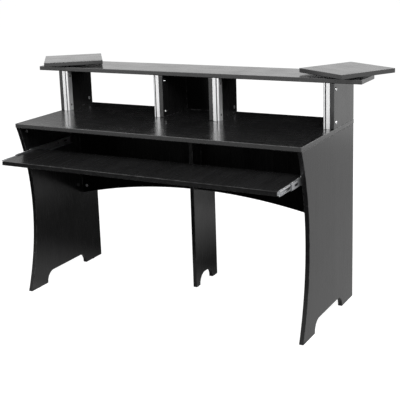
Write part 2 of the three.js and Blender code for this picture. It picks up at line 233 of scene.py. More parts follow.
def inset(loop: np.ndarray, distance: float) -> np.ndarray:
    """Moves a closed counterclockwise outline inwards.

    Each point goes along its mitre by the distance divided by the cosine of half its turn.

    Args:
        loop: the outline's points.
        distance: how far its edges move.

    Returns:
        The moved points, in the same order.
    """
    leaving = np.roll(loop, -1, axis=0) - loop
    leaving = leaving / np.linalg.norm(leaving, axis=1, keepdims=True)
    arriving = np.roll(leaving, 1, axis=0)
    normal = np.stack([-(leaving + arriving)[:, 1], (leaving + arriving)[:, 0]], axis=1)
    normal = normal / np.linalg.norm(normal, axis=1, keepdims=True)
    square = np.stack([-leaving[:, 1], leaving[:, 0]], axis=1)
    return loop + normal * distance / np.sum(normal * square, axis=1, keepdims=True)


def closed(rows: np.ndarray) -> np.ndarray:
    """Repeats the first column of a grid of points after its last, so that the grid meets itself."""
    return np.concatenate([rows, rows[:, :1]], axis=1)


def lifted(rings: np.ndarray, heights: np.ndarray) -> np.ndarray:
    """Gives all points of each flat ring in a stack that ring's height as their third value."""
    column = np.broadcast_to(heights[:, None, None], (*rings.shape[:2], 1))
    return np.concatenate([rings, column], axis=2)


def cells(rows: int, columns: int) -> np.ndarray:
    """The quadrilaterals between the neighbouring points of a grid, whose points are counted row by row.

    Args:
        rows: the grid's rows of points.
        columns: its columns of points.

    Returns:
        Four point numbers for each quadrilateral.
    """
    corner = (np.arange(rows - 1)[:, None] * columns + np.arange(columns - 1)[None]).ravel()
    return np.stack([corner, corner + 1, corner + columns + 1, corner + columns], axis=1)


@dataclass(frozen=True)
class Placement:
    """Where a flat piece lies: the origin of its outline and the directions of the outline's two axes."""

    origin: np.ndarray
    across: np.ndarray
    up: np.ndarray

    @property
    def out(self) -> np.ndarray:
        """The direction through the piece, from its first face to its second."""
        return np.cross(self.across, self.up)

    def place(self, local: np.ndarray) -> np.ndarray:
        """Origin plus the three local values times the three directions."""
        return self.origin + local @ np.stack([self.across, self.up, self.out])


class Surface:
    """A mesh under construction: points, faces, and for each face's corners the place in the wood's grain."""

    def __init__(self) -> None:
        """Starts with nothing."""
        self._points: list[np.ndarray] = []
        self._corners: list[np.ndarray] = []
        self._sizes: list[np.ndarray] = []
        self._finishes: list[np.ndarray] = []
        self._grain: list[np.ndarray] = []
        self._count = 0

    def add(
        self, points: np.ndarray, faces: np.ndarray, finish: int = MAIN_FINISH,
        grain: np.ndarray | None = None,
    ) -> None:
        """Adds faces that all have the same number of corners.

        Args:
            points: one row for each point.
            faces: one row of point numbers for each face.
            finish: the material slot of the faces.
            grain: for each point, its place along, across and through the grain.
        """
        grain = points * MM if grain is None else grain
        self._points.append(points)
        self._corners.append((faces + self._count).ravel())
        self._sizes.append(np.full(len(faces), faces.shape[1]))
        self._finishes.append(np.full(len(faces), finish))
        self._grain.append(grain[faces.ravel()])
        self._count += len(points)

    def grid(self, points: np.ndarray, finish: int = MAIN_FINISH, grain: np.ndarray | None = None) -> None:
        """Adds a grid of quadrilaterals between neighbouring rows and columns.

        Args:
            points: rows by columns by 3.
            finish: the material slot of the faces.
            grain: rows by columns by 3, or nothing for the points themselves.
        """
        flat = None if grain is None else grain.reshape(-1, 3)
        self.add(points.reshape(-1, 3), cells(*points.shape[:2]), finish, flat)

    def fill(
        self, loops: list[np.ndarray], depth: float, placement: Placement, finish: int, grain: GrainMap
    ) -> None:
        """Fills the flat area inside the first loop and outside the others with triangles.

        Args:
            loops: closed outlines in the plane of the placement.
            depth: how far through the piece the area lies.
            placement: where the piece lies.
            finish: the material slot of the triangles.
            grain: how the grain runs over the area.
        """
        flat = np.concatenate(loops)
        triangles = tessellate_polygon([[Vector((a, b, 0.0)) for a, b in loop] for loop in loops])
        local = np.column_stack([flat, np.full(len(flat), depth)])
        self.add(placement.place(local), np.array(triangles), finish, grain.of(local))

    def lathe(self, profile: np.ndarray, axis: Placement, steps: int, finish: int = MAIN_FINISH) -> None:
        """Turns a profile round an axis: each row of the grid is a ring of its radius at its height.

        Args:
            profile: radius and height of each ring; an end on the axis has radius 0.
            axis: the origin and directions of the turned piece, whose axis is its out direction.
            steps: the points of each ring.
            finish: the material slot of the faces.
        """
        rings = lifted(np.stack([circle(radius, steps) for radius in profile[:, 0]]), profile[:, 1])
        self.grid(closed(axis.place(rings)), finish)

    def balls(self, centres: np.ndarray, radius: float, finish: int = MAIN_FINISH) -> None:
        """Adds a small ball at each centre, all of them at once.

        The point of a ball at tilt t and turn a lies at its radius times (sin t cos a, sin t sin a, cos t).

        Args:
            centres: the balls' middles, one row each.
            radius: their radius.
            finish: the material slot of their faces.
        """
        tilt = np.linspace(0.0, math.pi, BALL_RINGS + 1)[:, None]
        turn = np.linspace(0.0, 2 * math.pi, BALL_SIDES + 1)[None]
        ball = np.stack(
            [np.sin(tilt) * np.cos(turn), np.sin(tilt) * np.sin(turn), np.cos(tilt) + 0 * turn], axis=2
        )
        rows, columns = ball.shape[:2]
        points = centres[:, None] + radius * ball.reshape(-1, 3)[None]
        shift = np.arange(len(centres))[:, None, None] * rows * columns
        self.add(points.reshape(-1, 3), (cells(rows, columns)[None] + shift).reshape(-1, 4), finish)

    def piece(self, name: str, materials: list[Material]) -> bpy.types.Object:
        """Makes the mesh, joins its seams and poles, and turns its faces outwards.

        Args:
            name: the object's name.
            materials: one for each finish number in use.

        Returns:
            The object, at the origin, with its place in its mesh.
        """
        mesh = bpy.data.meshes.new(name)
        points = np.concatenate(self._points) * MM
        sizes = np.concatenate(self._sizes)
        mesh.vertices.add(len(points))
        mesh.vertices.foreach_set("co", points.astype(np.float32).ravel())
        corners = np.concatenate(self._corners)
        mesh.loops.add(len(corners))
        mesh.loops.foreach_set("vertex_index", corners.astype(np.int32))
        mesh.polygons.add(len(sizes))
        mesh.polygons.foreach_set("loop_start", (np.cumsum(sizes) - sizes).astype(np.int32))
        mesh.polygons.foreach_set("material_index", np.concatenate(self._finishes).astype(np.int32))
        mesh.update(calc_edges=True)
        layer = mesh.attributes.new(GRAIN, "FLOAT_VECTOR", "CORNER")
        layer.data.foreach_set("vector", np.concatenate(self._grain).astype(np.float32).ravel())
        work = bmesh.new()
        work.from_mesh(mesh)
        bmesh.ops.remove_doubles(work, verts=work.verts, dist=WELD)
        bmesh.ops.recalc_face_normals(work, faces=work.faces)
        work.to_mesh(mesh)
        work.free()
        mesh.polygons.foreach_set("use_smooth", np.ones(len(mesh.polygons), dtype=bool))
        mesh.set_sharp_from_angle(angle=SHARP_ANGLE)
        for material in materials:
            mesh.materials.append(material)
        obj = bpy.data.objects.new(name, mesh)
        bpy.context.scene.collection.objects.link(obj)
        return obj


@dataclass(frozen=True)
class GrainMap:
    """How the wood's figure runs over a board: along its first or second axis, from a place of its own."""

    along_up: bool = False
    number: int = 0

    @property
    def start(self) -> np.ndarray:
        """A place in the figure that no other board has, in metres."""
        return GRAIN_STRIDE * (self.number + 1)

    def of(self, local: np.ndarray) -> np.ndarray:
        """The place along, across and through the grain, in metres, of points on the board."""
        order = [1, 0, 2] if self.along_up else [0, 1, 2]
        return local[..., order] * MM + self.start


@dataclass(frozen=True)
class Pocket:
    """A hole in a flat piece: its outline, its depth, and whether it starts on the second face."""

    loop: np.ndarray
    depth: float
    second_face: bool = True
    mouth: float = 0.2


@dataclass
class Plate:
    """A flat piece of one thickness with softened arrises, such as a board or a steel plate.

    Its edge is a profile carried round the outline: a quarter round of the arris radius, the flat edge, and a
    second quarter round. A point at angle t of a quarter round lies r (1 - sin t) in from the edge and
    r (1 - cos t) deep.
    """

    outline: np.ndarray
    thickness: float
    arris: float
    placement: Placement
    pockets: list[Pocket] = field(default_factory=list)
    grain: GrainMap = GrainMap()
    face_finish: int = MAIN_FINISH
    edge_finish: int = MAIN_FINISH
    arris_steps: int = 3
    rim: float = 0.5

    def build(self, surface: Surface) -> None:
        """Adds the edge, both faces and the pockets.

        Args:
            surface: the mesh that the piece belongs to.
        """
        swing = np.linspace(0.0, math.pi / 2, self.arris_steps + 1)
        inward = self.arris * (1 - np.sin(swing))
        deep = self.arris * (1 - np.cos(swing))
        flat = self.arris + self.rim
        far = self.thickness
        inset_by = np.concatenate([[flat], inward, [0.0, 0.0], inward[::-1], [flat]])
        depth = np.concatenate([[0.0], deep, [flat, far - flat], far - deep[::-1], [far]])
        rings = closed(lifted(np.stack([inset(self.outline, distance) for distance in inset_by]), depth))
        run = np.concatenate([[0.0], np.cumsum(np.linalg.norm(np.diff(rings[2, :, :2], axis=0), axis=1))])
        round_share = 1.0 - np.minimum(np.minimum(depth, self.thickness - depth) / flat, 1.0)
        lay = np.stack(np.broadcast_arrays(run[None] * MM, depth[:, None] * MM, round_share[:, None]), axis=2)
        surface.grid(self.placement.place(rings), self.edge_finish, lay + self.grain.start * [1.0, 1.0, 0.0])
        self._faces(surface, rings[0, :-1, :2])
        for pocket in self.pockets:
            self._pocket(surface, pocket)

    def _faces(self, surface: Surface, outer: np.ndarray) -> None:
        """Fills the two faces, round the pockets that open on each.

        Args:
            surface: the mesh that the piece belongs to.
            outer: the outline of a face inside its softened arris.
        """
        for second, depth in ((False, 0.0), (True, self.thickness)):
            open_here = [p for p in self.pockets if p.second_face is second or p.depth >= self.thickness]
            holes = [inset(pocket.loop, -pocket.mouth) for pocket in open_here]
            surface.fill([outer, *holes], depth, self.placement, self.face_finish, self.grain)

    def _pocket(self, surface: Surface, pocket: Pocket) -> None:
        """Adds a pocket's wall, its chamfered mouth and its floor.

        Args:
            surface: the mesh that the piece belongs to.
            pocket: the hole.
        """
        through = pocket.depth >= self.thickness
        reach = [0.0, pocket.mouth, pocket.depth - (pocket.mouth if through else 0.0)]
        widen = [-pocket.mouth, 0.0, 0.0]
        if through:
            reach.append(pocket.depth)
            widen.append(-pocket.mouth)
        deep = np.array(reach)
        depth = self.thickness - deep if pocket.second_face else deep
        rings = lifted(np.stack([inset(pocket.loop, distance) for distance in widen]), depth)
        surface.grid(closed(self.placement.place(rings)), self.edge_finish, closed(self.grain.of(rings)))
        if not through:
            surface.fill([pocket.loop], depth[-1], self.placement, self.edge_finish, self.grain)


class Tree:
    """Adds and joins the nodes of one material or node group."""

    def __init__(self, tree: bpy.types.NodeTree) -> None:
        """Keeps the tree.

        Args:
            tree: the node tree to fill.
        """
        self.tree = tree

    def add(self, kind: str, inputs: dict[str | int, Value] | None = None, **settings: object) -> Node:
        """Adds a node.

        Args:
            kind: the node's type without its "ShaderNode".
            inputs: a value or another node's output for each named or numbered input.
            settings: the node's own settings.

        Returns:
            The node.
        """
        node = self.tree.nodes.new("ShaderNode" + kind)
        for name, value in settings.items():
            setattr(node, name, value)
        for name, value in (inputs or {}).items():
            self.set(node, name, value)
        return node

    def set(self, node: Node, name: str | int, value: Value) -> None:
        """Gives a node's input a value or joins another node's output to it.

        Args:
            node: the node.
            name: the input's name or number.
            value: a number, a colour, or an output.
        """
        socket = node.inputs[name]
        if isinstance(value, Socket):
            self.tree.links.new(value, socket)
        elif isinstance(value, tuple) and len(socket.default_value) == 4:
            socket.default_value = (*value, 1.0)
        else:
            socket.default_value = value

    def math(self, operation: str, first: Value, second: Value = 0.0, clamp: bool = False) -> Socket:
        """The output of a Math node of two values."""
        return self.add("Math", {0: first, 1: second}, operation=operation, use_clamp=clamp).outputs[0]

    def vector(self, operation: str, first: Value, second: Value) -> Socket:
        """The output of a VectorMath node of two vectors."""
        return self.add("VectorMath", {0: first, 1: second}, operation=operation).outputs[0]

    def sized(self, vector: Socket, factor: Socket) -> Socket:
        """The output of a vector multiplied by one varying factor."""
        return self.add("VectorMath", {0: vector, "Scale": factor}, operation="SCALE").outputs[0]

    def noise(self, place: Socket, scale: Triple, detail: float, roughness: float = 0.5) -> Socket:
        """Adds a noise of a place that is scaled along each axis first.

        Args:
            place: the vector.
            scale: how many features of the noise fit in a metre along each axis.
            detail: how many finer layers it has.
            roughness: how much the finer layers count.

        Returns:
            The noise's value.
        """
        scaled = self.vector("MULTIPLY", place, scale)
        inputs = {"Vector": scaled, "Scale": 1.0, "Detail": detail, "Roughness": roughness}
        return self.add("TexNoise", inputs).outputs["Fac"]

    def span(
        self, value: Socket, low: float, high: float, to_low: float = 0.0, to_high: float = 1.0
    ) -> Socket:
        """The output of a clamped Map Range node."""
        inputs = {"Value": value, "From Min": low, "From Max": high, "To Min": to_low, "To Max": to_high}
        return self.add("MapRange", inputs).outputs["Result"]

    def blend(self, factor: Value, first: Value, second: Value) -> Socket:
        """The colour between two colours; inputs 6 and 7 and output 2 of a Mix node are its colours."""
        return self.add("Mix", {"Factor": factor, 6: first, 7: second}, data_type="RGBA").outputs[2]

    def between(self, factor: Value, first: Value, second: Value) -> Socket:
        """The number between two numbers; inputs 2 and 3 and output 0 of a Mix node are its numbers."""
        return self.add("Mix", {"Factor": factor, 2: first, 3: second}, data_type="FLOAT").outputs[0]

    def mirrored(self, path: Node) -> Socket:
        """1 for glossy and transmission rays, else 0, from a Light Path node."""
        return self.math("MAXIMUM", path.outputs["Is Glossy Ray"], path.outputs["Is Transmission Ray"])


def blank_material(name: str) -> tuple[Material, Tree]:
    """Makes a material whose tree is empty.

    Args:
        name: the material's name.

    Returns:
        The material and its tree.
    """
    material = bpy.data.materials.new(name)
    material.use_nodes = True
    material.node_tree.nodes.clear()
    return material, Tree(material.node_tree)


def node_group(name: str, inputs: dict[str, float], outputs: list[str]) -> tuple[Tree, Node, Node]:
    """Starts a shader node group with a vector input, named number inputs and number outputs.

    Args:
        name: the group's name.
        inputs: the number inputs and their usual values.
        outputs: the names of the number outputs.

    Returns:
        The group's tree, its input node and its output node.
    """
    tree = bpy.data.node_groups.new(name, "ShaderNodeTree")
    tree.interface.new_socket(name="Vector", in_out="INPUT", socket_type="NodeSocketVector")
    for label, usual in inputs.items():
        socket = tree.interface.new_socket(name=label, in_out="INPUT", socket_type="NodeSocketFloat")
        socket.default_value = usual
    for label in outputs:
        tree.interface.new_socket(name=label, in_out="OUTPUT", socket_type="NodeSocketFloat")
    return Tree(tree), tree.nodes.new("NodeGroupInput"), tree.nodes.new("NodeGroupOutput")


@dataclass
class Effects:
    """The node groups that more than one finish uses, with the scales and spans of their noises."""

    sway_scale: Triple = (1.6, 5.0, 5.0)
    sway: float = 0.035
    band_scale: Triple = (0.9, 26.0, 26.0)
    streak_scale: Triple = (3.2, 210.0, 210.0)
    hair_scale: Triple = (7.0, 900.0, 900.0)
    figure_span: Pair = (0.32, 0.68)
    pore_span: Pair = (0.58, 0.74)
    smudge_scale: Triple = (9.0, 9.0, 9.0)
    dust_scale: Triple = (900.0, 900.0, 900.0)
    smudge_span: Pair = (0.4, 0.7)
    dust_span: Pair = (0.74, 0.8)
    line_scale: Triple = (1900.0, 1900.0, 9.0)
    cloud_scale: Triple = (160.0, 160.0, 160.0)
    line_span: Pair = (0.3, 0.7)
    cloud_span: Pair = (0.35, 0.65)

    def __post_init__(self) -> None:
        """Builds each group once."""
        self.grain = self._grain()
        self.handling = self._handling()
        self.metal = self._metal()

    def _grain(self) -> bpy.types.NodeTree:
        """Printed wood: broad bands, fine streaks and short pores, all drawn out along the vector's X.

        Returns:
            The group. Figure is the tone of bands and streaks, Pores is 1 in a pore.
        """
        tree, given, result = node_group("Wood grain", {"Streaks": 0.5}, ["Figure", "Pores"])
        place = given.outputs["Vector"]
        sway = tree.noise(place, self.sway_scale, detail=1.0)
        bend = tree.add("CombineXYZ", {"Y": tree.math("MULTIPLY", sway, self.sway)}).outputs[0]
        swayed = tree.vector("ADD", place, bend)
        bands = tree.noise(swayed, self.band_scale, detail=2.0)
        streaks = tree.noise(swayed, self.streak_scale, detail=3.0, roughness=0.6)
        hairs = tree.noise(swayed, self.hair_scale, detail=1.0)
        mixed = tree.between(given.outputs["Streaks"], bands, streaks)
        tree.set(result, "Figure", tree.span(mixed, *self.figure_span))
        tree.set(result, "Pores", tree.span(hairs, *self.pore_span))
        return tree.tree

    def _handling(self) -> bpy.types.NodeTree:
        """The traces of use: soft smudges half a hand wide and specks of dust.

        Returns:
            The group. Smudges and Dust run from 0 to 1.
        """
        tree, given, result = node_group("Handling", {"Reach": 1.0}, ["Smudges", "Dust"])
        sized = tree.sized(given.outputs["Vector"], given.outputs["Reach"])
        soft = tree.noise(sized, self.smudge_scale, detail=3.0, roughness=0.6)
        fine = tree.noise(sized, self.dust_scale, detail=0.0)
        tree.set(result, "Smudges", tree.span(soft, *self.smudge_span))
        tree.set(result, "Dust", tree.span(fine, *self.dust_span))
        return tree.tree

    def _metal(self) -> bpy.types.NodeTree:
        """The surface of plated or drawn metal: lines along the vector's Z, and cloudy mottling.

        Returns:
            The group. Lines and Mottle run from 0 to 1.
        """
        tree, given, result = node_group("Metal surface", {"Grain": 1.0}, ["Lines", "Mottle"])
        sized = tree.sized(given.outputs["Vector"], given.outputs["Grain"])
        lines = tree.noise(sized, self.line_scale, detail=2.0)
        cloud = tree.noise(sized, self.cloud_scale, detail=4.0, roughness=0.65)
        tree.set(result, "Lines", tree.span(lines, *self.line_span))
        tree.set(result, "Mottle", tree.span(cloud, *self.cloud_span))
        return tree.tree


@dataclass(frozen=True)
class Finish:
    """What all finishes share: a name, how a material is started and how its relief is joined."""

    name: str

    def start(self, plain: dict[str, Value]) -> tuple[Material, Tree, Node]:
        """Makes a material with one Principled shader.

        Args:
            plain: the shader's values that are the same all over.

        Returns:
            The material, its tree and its shader.
        """
        material, tree = blank_material(self.name)
        shader = tree.add("BsdfPrincipled", plain)
        tree.add("OutputMaterial", {"Surface": shader.outputs[0]})
        return material, tree, shader

    def bump(self, tree: Tree, shader: Node, height: Value, strength: float, depth: float) -> None:
        """Joins a height to the shader's normal through a Bump node.

        Args:
            tree: the material's tree.
            shader: its shader.
            height: the varying height.
            strength: how much of it shows.
            depth: the relief of a height of 1, in metres.
        """
        inputs = {"Height": height, "Strength": strength, "Distance": depth}
        tree.set(shader, "Normal", tree.add("Bump", inputs).outputs[0])


@dataclass(frozen=True)
class Laminate(Finish):
    """Black wood-grain melamine: a printed figure, fine pores and a satin face."""

    dark: Rgb = (0.004, 0.004, 0.0041)
    light: Rgb = (0.0125, 0.0125, 0.0128)
    dust: Rgb = (0.09, 0.09, 0.09)
    satin: float = 0.19
    index: float = 1.5
    streaks: float = 0.55
    pore_shade: float = 0.5
    dust_share: float = 0.12
    dark_dulling: float = 0.04
    light_polish: float = 0.03
    smudge_dulling: float = 0.05
    pore_dulling: float = 0.1
    relief_share: float = 0.22
    relief: float = 0.00006

    def material(self, effects: Effects) -> Material:
        """Builds the material; it reads the board's own grain attribute.

        Args:
            effects: the shared node groups.

        Returns:
            The material.
        """
        material, tree, shader = self.start({"IOR": self.index})
        place = tree.add("Attribute", attribute_name=GRAIN).outputs["Vector"]
        wood = tree.add("Group", {"Vector": place, "Streaks": self.streaks}, node_tree=effects.grain)
        figure, pores = wood.outputs["Figure"], wood.outputs["Pores"]
        marks = tree.add("Group", {"Vector": place}, node_tree=effects.handling)
        tone = tree.math("SUBTRACT", figure, tree.math("MULTIPLY", pores, self.pore_shade), clamp=True)
        colour = tree.blend(tone, self.dark, self.light)
        dusting = tree.math("MULTIPLY", marks.outputs["Dust"], self.dust_share)
        tree.set(shader, "Base Color", tree.blend(dusting, colour, self.dust))
        figured = tree.span(figure, 0.0, 1.0, self.satin + self.dark_dulling, self.satin - self.light_polish)
        smudged = tree.math("MULTIPLY", marks.outputs["Smudges"], self.smudge_dulling)
        pored = tree.math("MULTIPLY", pores, self.pore_dulling)
        tree.set(shader, "Roughness", tree.math("ADD", tree.math("ADD", figured, smudged), pored))
        self.bump(tree, shader, tree.math("SUBTRACT", figure, pores), self.relief_share, self.relief)
        return material


@dataclass(frozen=True)
class EdgeBand(Finish):
    """Black plastic edge band: faintly streaked along the edge, rubbed paler on its arrises, where the paler
    colour is partly a painted highlight.
    """

    face: Rgb = (0.009, 0.009, 0.0092)
    streak: Rgb = (0.017, 0.017, 0.0175)
    rubbed: Rgb = (0.1, 0.1, 0.101)
    satin: float = 0.24
    index: float = 1.7
    streaks: float = 0.35
    arris_span: Pair = (0.35, 0.9)
    patch_scale: Triple = (34.0, 60.0, 0.0)
    wear_span: Pair = (0.38, 0.66)
    wear_share: float = 0.8
    gloss_span: Pair = (0.3, 0.7)
    polish: float = 0.05
    dulling: float = 0.08
    relief_share: float = 0.15
    relief: float = 0.00005

    def material(self, effects: Effects) -> Material:
        """Builds the material; the third value of the grain attribute is 1 on an arris.

        Args:
            effects: the shared node groups.

        Returns:
            The material.
        """
        material, tree, shader = self.start({"IOR": self.index})
        place = tree.add("Attribute", attribute_name=GRAIN).outputs["Vector"]
        wood = tree.add("Group", {"Vector": place, "Streaks": self.streaks}, node_tree=effects.grain)
        figure = wood.outputs["Figure"]
        plain = tree.blend(figure, self.face, self.streak)
        arris = tree.add("SeparateXYZ", {0: place}).outputs["Z"]
        patchy = tree.noise(place, self.patch_scale, detail=3.0)
        # Patches on the arrises are painted paler: partly rubbed wear, partly a painted highlight.
        wear_and_highlight = tree.math("MULTIPLY", tree.span(arris, *self.arris_span), tree.span(patchy, *self.wear_span))
        rubbing_and_highlight = tree.math("MULTIPLY", wear_and_highlight, self.wear_share)
        tree.set(shader, "Base Color", tree.blend(rubbing_and_highlight, plain, self.rubbed))
        gloss = tree.span(patchy, *self.gloss_span, self.satin - self.polish, self.satin + self.dulling)
        tree.set(shader, "Roughness", gloss)
        self.bump(tree, shader, figure, self.relief_share, self.relief)
        return material


@dataclass(frozen=True)
class Metal(Finish):
    """Bare or plated metal: drawn lines, cloudy plating and a rougher skin where it is mottled."""

    bright: Rgb = (0.86, 0.865, 0.87)
    dull: Rgb = (0.72, 0.725, 0.73)
    polish: float = 0.24
    spread: float = 0.1
    lined: float = 0.5
    relief: float = 0.00002
    grain: float = 1.0
    bare: float = 1.0
    relief_share: float = 0.3

    def material(self, effects: Effects) -> Material:
        """Builds the material on Object coordinates.

        Args:
            effects: the shared node groups.

        Returns:
            The material.
        """
        material, tree, shader = self.start({"Metallic": self.bare})
        place = tree.add("TexCoord").outputs["Object"]
        skin = tree.add("Group", {"Vector": place, "Grain": self.grain}, node_tree=effects.metal)
        mixed = tree.between(self.lined, skin.outputs["Mottle"], skin.outputs["Lines"])
        tree.set(shader, "Base Color", tree.blend(mixed, self.bright, self.dull))
        tree.set(shader, "Roughness", tree.span(mixed, 0.0, 1.0, self.polish, self.polish + self.spread))
        self.bump(tree, shader, mixed, self.relief_share, self.relief)
        return material


@dataclass(frozen=True)
class Plastic(Finish):
    """Moulded black plastic with a fine pebbled skin."""

    deep: Rgb = (0.012, 0.012, 0.012)
    scuffed: Rgb = (0.05, 0.05, 0.05)
    index: float = 1.48
    mark_scale: float = 6.0
    pebble_scale: Triple = (2500.0, 2500.0, 2500.0)
    satin: float = 0.45
    scuffed_satin: float = 0.62
    relief_share: float = 0.3
    relief: float = 0.00004

    def material(self, effects: Effects) -> Material:
        """Builds the material on Object coordinates.

        Args:
            effects: the shared node groups.

        Returns:
            The material.
        """
        material, tree, shader = self.start({"IOR": self.index})
        place = tree.add("TexCoord").outputs["Object"]
        marks = tree.add("Group", {"Vector": place, "Reach": self.mark_scale}, node_tree=effects.handling)
        smudges = marks.outputs["Smudges"]
        tree.set(shader, "Base Color", tree.blend(smudges, self.deep, self.scuffed))
        tree.set(shader, "Roughness", tree.span(smudges, 0.0, 1.0, self.satin, self.scuffed_satin))
        pebbles = tree.noise(place, self.pebble_scale, detail=1.0)
        self.bump(tree, shader, pebbles, self.relief_share, self.relief)
        return material


class Workshop:
    """Holds the finishes and puts each finished piece in its solid's place."""

    def __init__(self, record: dict) -> None:
        """Builds the finishes and notes which body carries each solid.

        Args:
            record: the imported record.
        """
        effects = Effects()
        # The tray's laminate is a paler copy of the common one: painted light on the tray.
        tray = Laminate("tray_laminate", dark=(0.008, 0.008, 0.0081), light=(0.023, 0.023, 0.0235))
        # A much darker, less reflective copy of the laminate: painted shade on the modesty panels and the
        # middle bay's back board.
        shaded = Laminate(
            "shaded_laminate", dark=(0.0005, 0.0005, 0.0005), light=(0.002, 0.002, 0.002), index=1.2
        )
        # A darker, less reflective copy of the edge band: painted shade on the edges of the side panels, the
        # leg and the tray.
        dull = EdgeBand(
            "painted_shade_edge_band", face=(0.005, 0.005, 0.0051), streak=(0.01, 0.01, 0.0103), index=1.35
        )
        drawn = Metal(
            "bright_rail_metal", bright=(0.99, 0.99, 0.995), dull=(0.93, 0.935, 0.94), polish=0.4,
            spread=0.08, lined=0.85, relief=0.00001, bare=0.87,
        )
        cast = Metal(
            "cast_zinc", bright=(0.5, 0.5, 0.515), dull=(0.36, 0.36, 0.37), polish=0.4,
            spread=0.16, lined=0.0, relief=0.00006, grain=2.5,
        )
        plated = Metal(
            "zinc_plate", bright=(0.56, 0.57, 0.585), dull=(0.3, 0.305, 0.315), polish=0.3,
            spread=0.2, lined=0.1, relief=0.00003, grain=1.4,
        )
        self.laminate = Laminate("black_laminate").material(effects)
        self.tray = tray.material(effects)
        self.shaded = shaded.material(effects)
        self.band = EdgeBand("black_edge_band").material(effects)
        self.dull_band = dull.material(effects)
        self.rail = drawn.material(effects)
        self.nickel = Metal("nickel_plate", polish=0.14, spread=0.12, lined=0.1, grain=2.0).material(effects)
        self.cam = cast.material(effects)
        self.zinc = plated.material(effects)
        self.plastic = Plastic("moulded_plastic").material(effects)
        bodies = record["behaviour"]["bodies"]
        self.carriers = {node: body for body, nodes in bodies.items() for node in nodes}

    def place(self, surface: Surface, node: str, slot: Slot, materials: list[Material]) -> None:
        """Makes a piece that stands for a solid and rides on its body.

        Args:
            surface: the piece's mesh.
            node: the solid's name.
            slot: the record's finish; not used.
            materials: one for each finish number in the mesh.
        """
        piece = surface.piece(node + "_piece", materials)
        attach(piece, self.carriers[node])
        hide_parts(node)
        LOG.info("%s: %d faces", piece.name, len(piece.data.polygons))

    def board(
        self, node: str, plate: Plate, faces: Material | None = None, band: Material | None = None
    ) -> None:
        """Makes a board, with laminate faces and a banded edge.

        Args:
            node: the board's name.
            plate: its shape.
            faces: the finish of its faces, where it isn't the common laminate.
            band: the finish of its edge, where it isn't the common edge band.
        """
        surface = Surface()
        plate.build(surface)
        self.place(surface, node, Slot.BOARD, [faces or self.laminate, band or self.band])


@dataclass
class Boards:
    """The sizes that every board shares, and the outlines and sockets that are cut from it."""

    thickness: float = 18.0
    arris: float = 1.6
    corner: float = 2.6
    arch_spans: int = 56
    notch_height: float = 50.5
    notch_radius: float = 45.0
    cam_radius: float = 7.5
    socket_radius: float = 7.7
    socket_depth: float = 12.8
    socket_steps: int = 48

    def plate(
        self, node: str, outline: np.ndarray, placement: Placement, along_up: bool,
        sockets: list[Pocket] | None = None,
    ) -> Plate:
        """A board of the shared thickness and arris.

        Args:
            node: the board's name, whose number in the boards' order picks its place in the figure.
            outline: its outline.
            placement: where it lies.
            along_up: whether its grain runs along the outline's second axis.
            sockets: its cam sockets.

        Returns:
            The board's shape.
        """
        grain = GrainMap(along_up, BOARD_ORDER.index(node))
        return Plate(
            outline, self.thickness, self.arris, placement, sockets or [], grain, LAMINATE_FACE, EDGE_BAND
        )

    def rectangle(self, width: float, height: float) -> np.ndarray:
        """A rectangle with softened corners, from the origin."""
        r = self.corner
        return soften([(0, 0, r), (width, 0, r), (width, height, r), (0, height, r)])

    def arc(self, start: Pair, end: Pair, rise: float) -> list[Triple]:
        """The points of an arc between two corners.

        The arc bows to the left of the way from start to end. Its radius is (c / 2)^2 / (2 rise) + rise / 2
        for a chord of length c, and its points stand at equal angles round its centre.

        Args:
            start: the first end.
            end: the second end.
            rise: the height of the arc over its chord.

        Returns:
            The points between the two ends, each with radius 0.
        """
        first = np.array(start)
        chord = np.array(end) - first
        length = float(np.linalg.norm(chord))
        radius = length**2 / (8 * rise) + rise / 2
        way = chord / length
        left = np.array([-way[1], way[0]])
        centre = first + chord / 2 - left * (radius - rise)
        half = math.asin(length / 2 / radius)
        swing = np.linspace(-half, half, self.arch_spans + 1)[1:-1, None]
        points = centre + radius * (np.sin(swing) * way + np.cos(swing) * left)
        return [(a, b, 0.0) for a, b in points]

    def footed(
        self, depth: float, height: float, front_foot: float, rear_foot: float, arch: float
    ) -> np.ndarray:
        """An upright board on two feet, with a notch between them and a front edge that may be hollow.

        Args:
            depth: from its front corner to its back edge.
            height: from its feet to its top.
            front_foot: the width of the front foot.
            rear_foot: the width of the rear foot.
            arch: how deep the front edge is hollowed.

        Returns:
            The outline, counterclockwise.
        """
        r = self.corner
        top = self.notch_height
        end = depth - rear_foot
        corners = [(0, 0, r), (front_foot, 0, r), (front_foot, top, self.notch_radius)]
        corners += [(end, top, self.notch_radius), (end, 0, r), (depth, 0, r)]
        corners += [(depth, height, r), (0, height, r)]
        if arch > 0:
            corners += self.arc((0, height), (0, 0), arch)
        return soften(corners)

    def sockets(self, board: Placement, cams: dict[str, np.ndarray], second_face: bool) -> list[Pocket]:
        """The round sockets of a board's cam fittings.

        Args:
            board: where the board lies.
            cams: the cams' names, each with the direction that its bolt runs.
            second_face: whether they are sunk in the board's second face.

        Returns:
            One socket for each cam.
        """
        pockets = []
        for node, drawing in cams.items():
            middle = cam_centre(node, drawing, self.cam_radius) - board.origin
            place = (float(middle @ board.across), float(middle @ board.up))
            loop = circle(self.socket_radius, self.socket_steps, place)
            pockets.append(Pocket(loop, self.socket_depth, second_face))
        return pockets


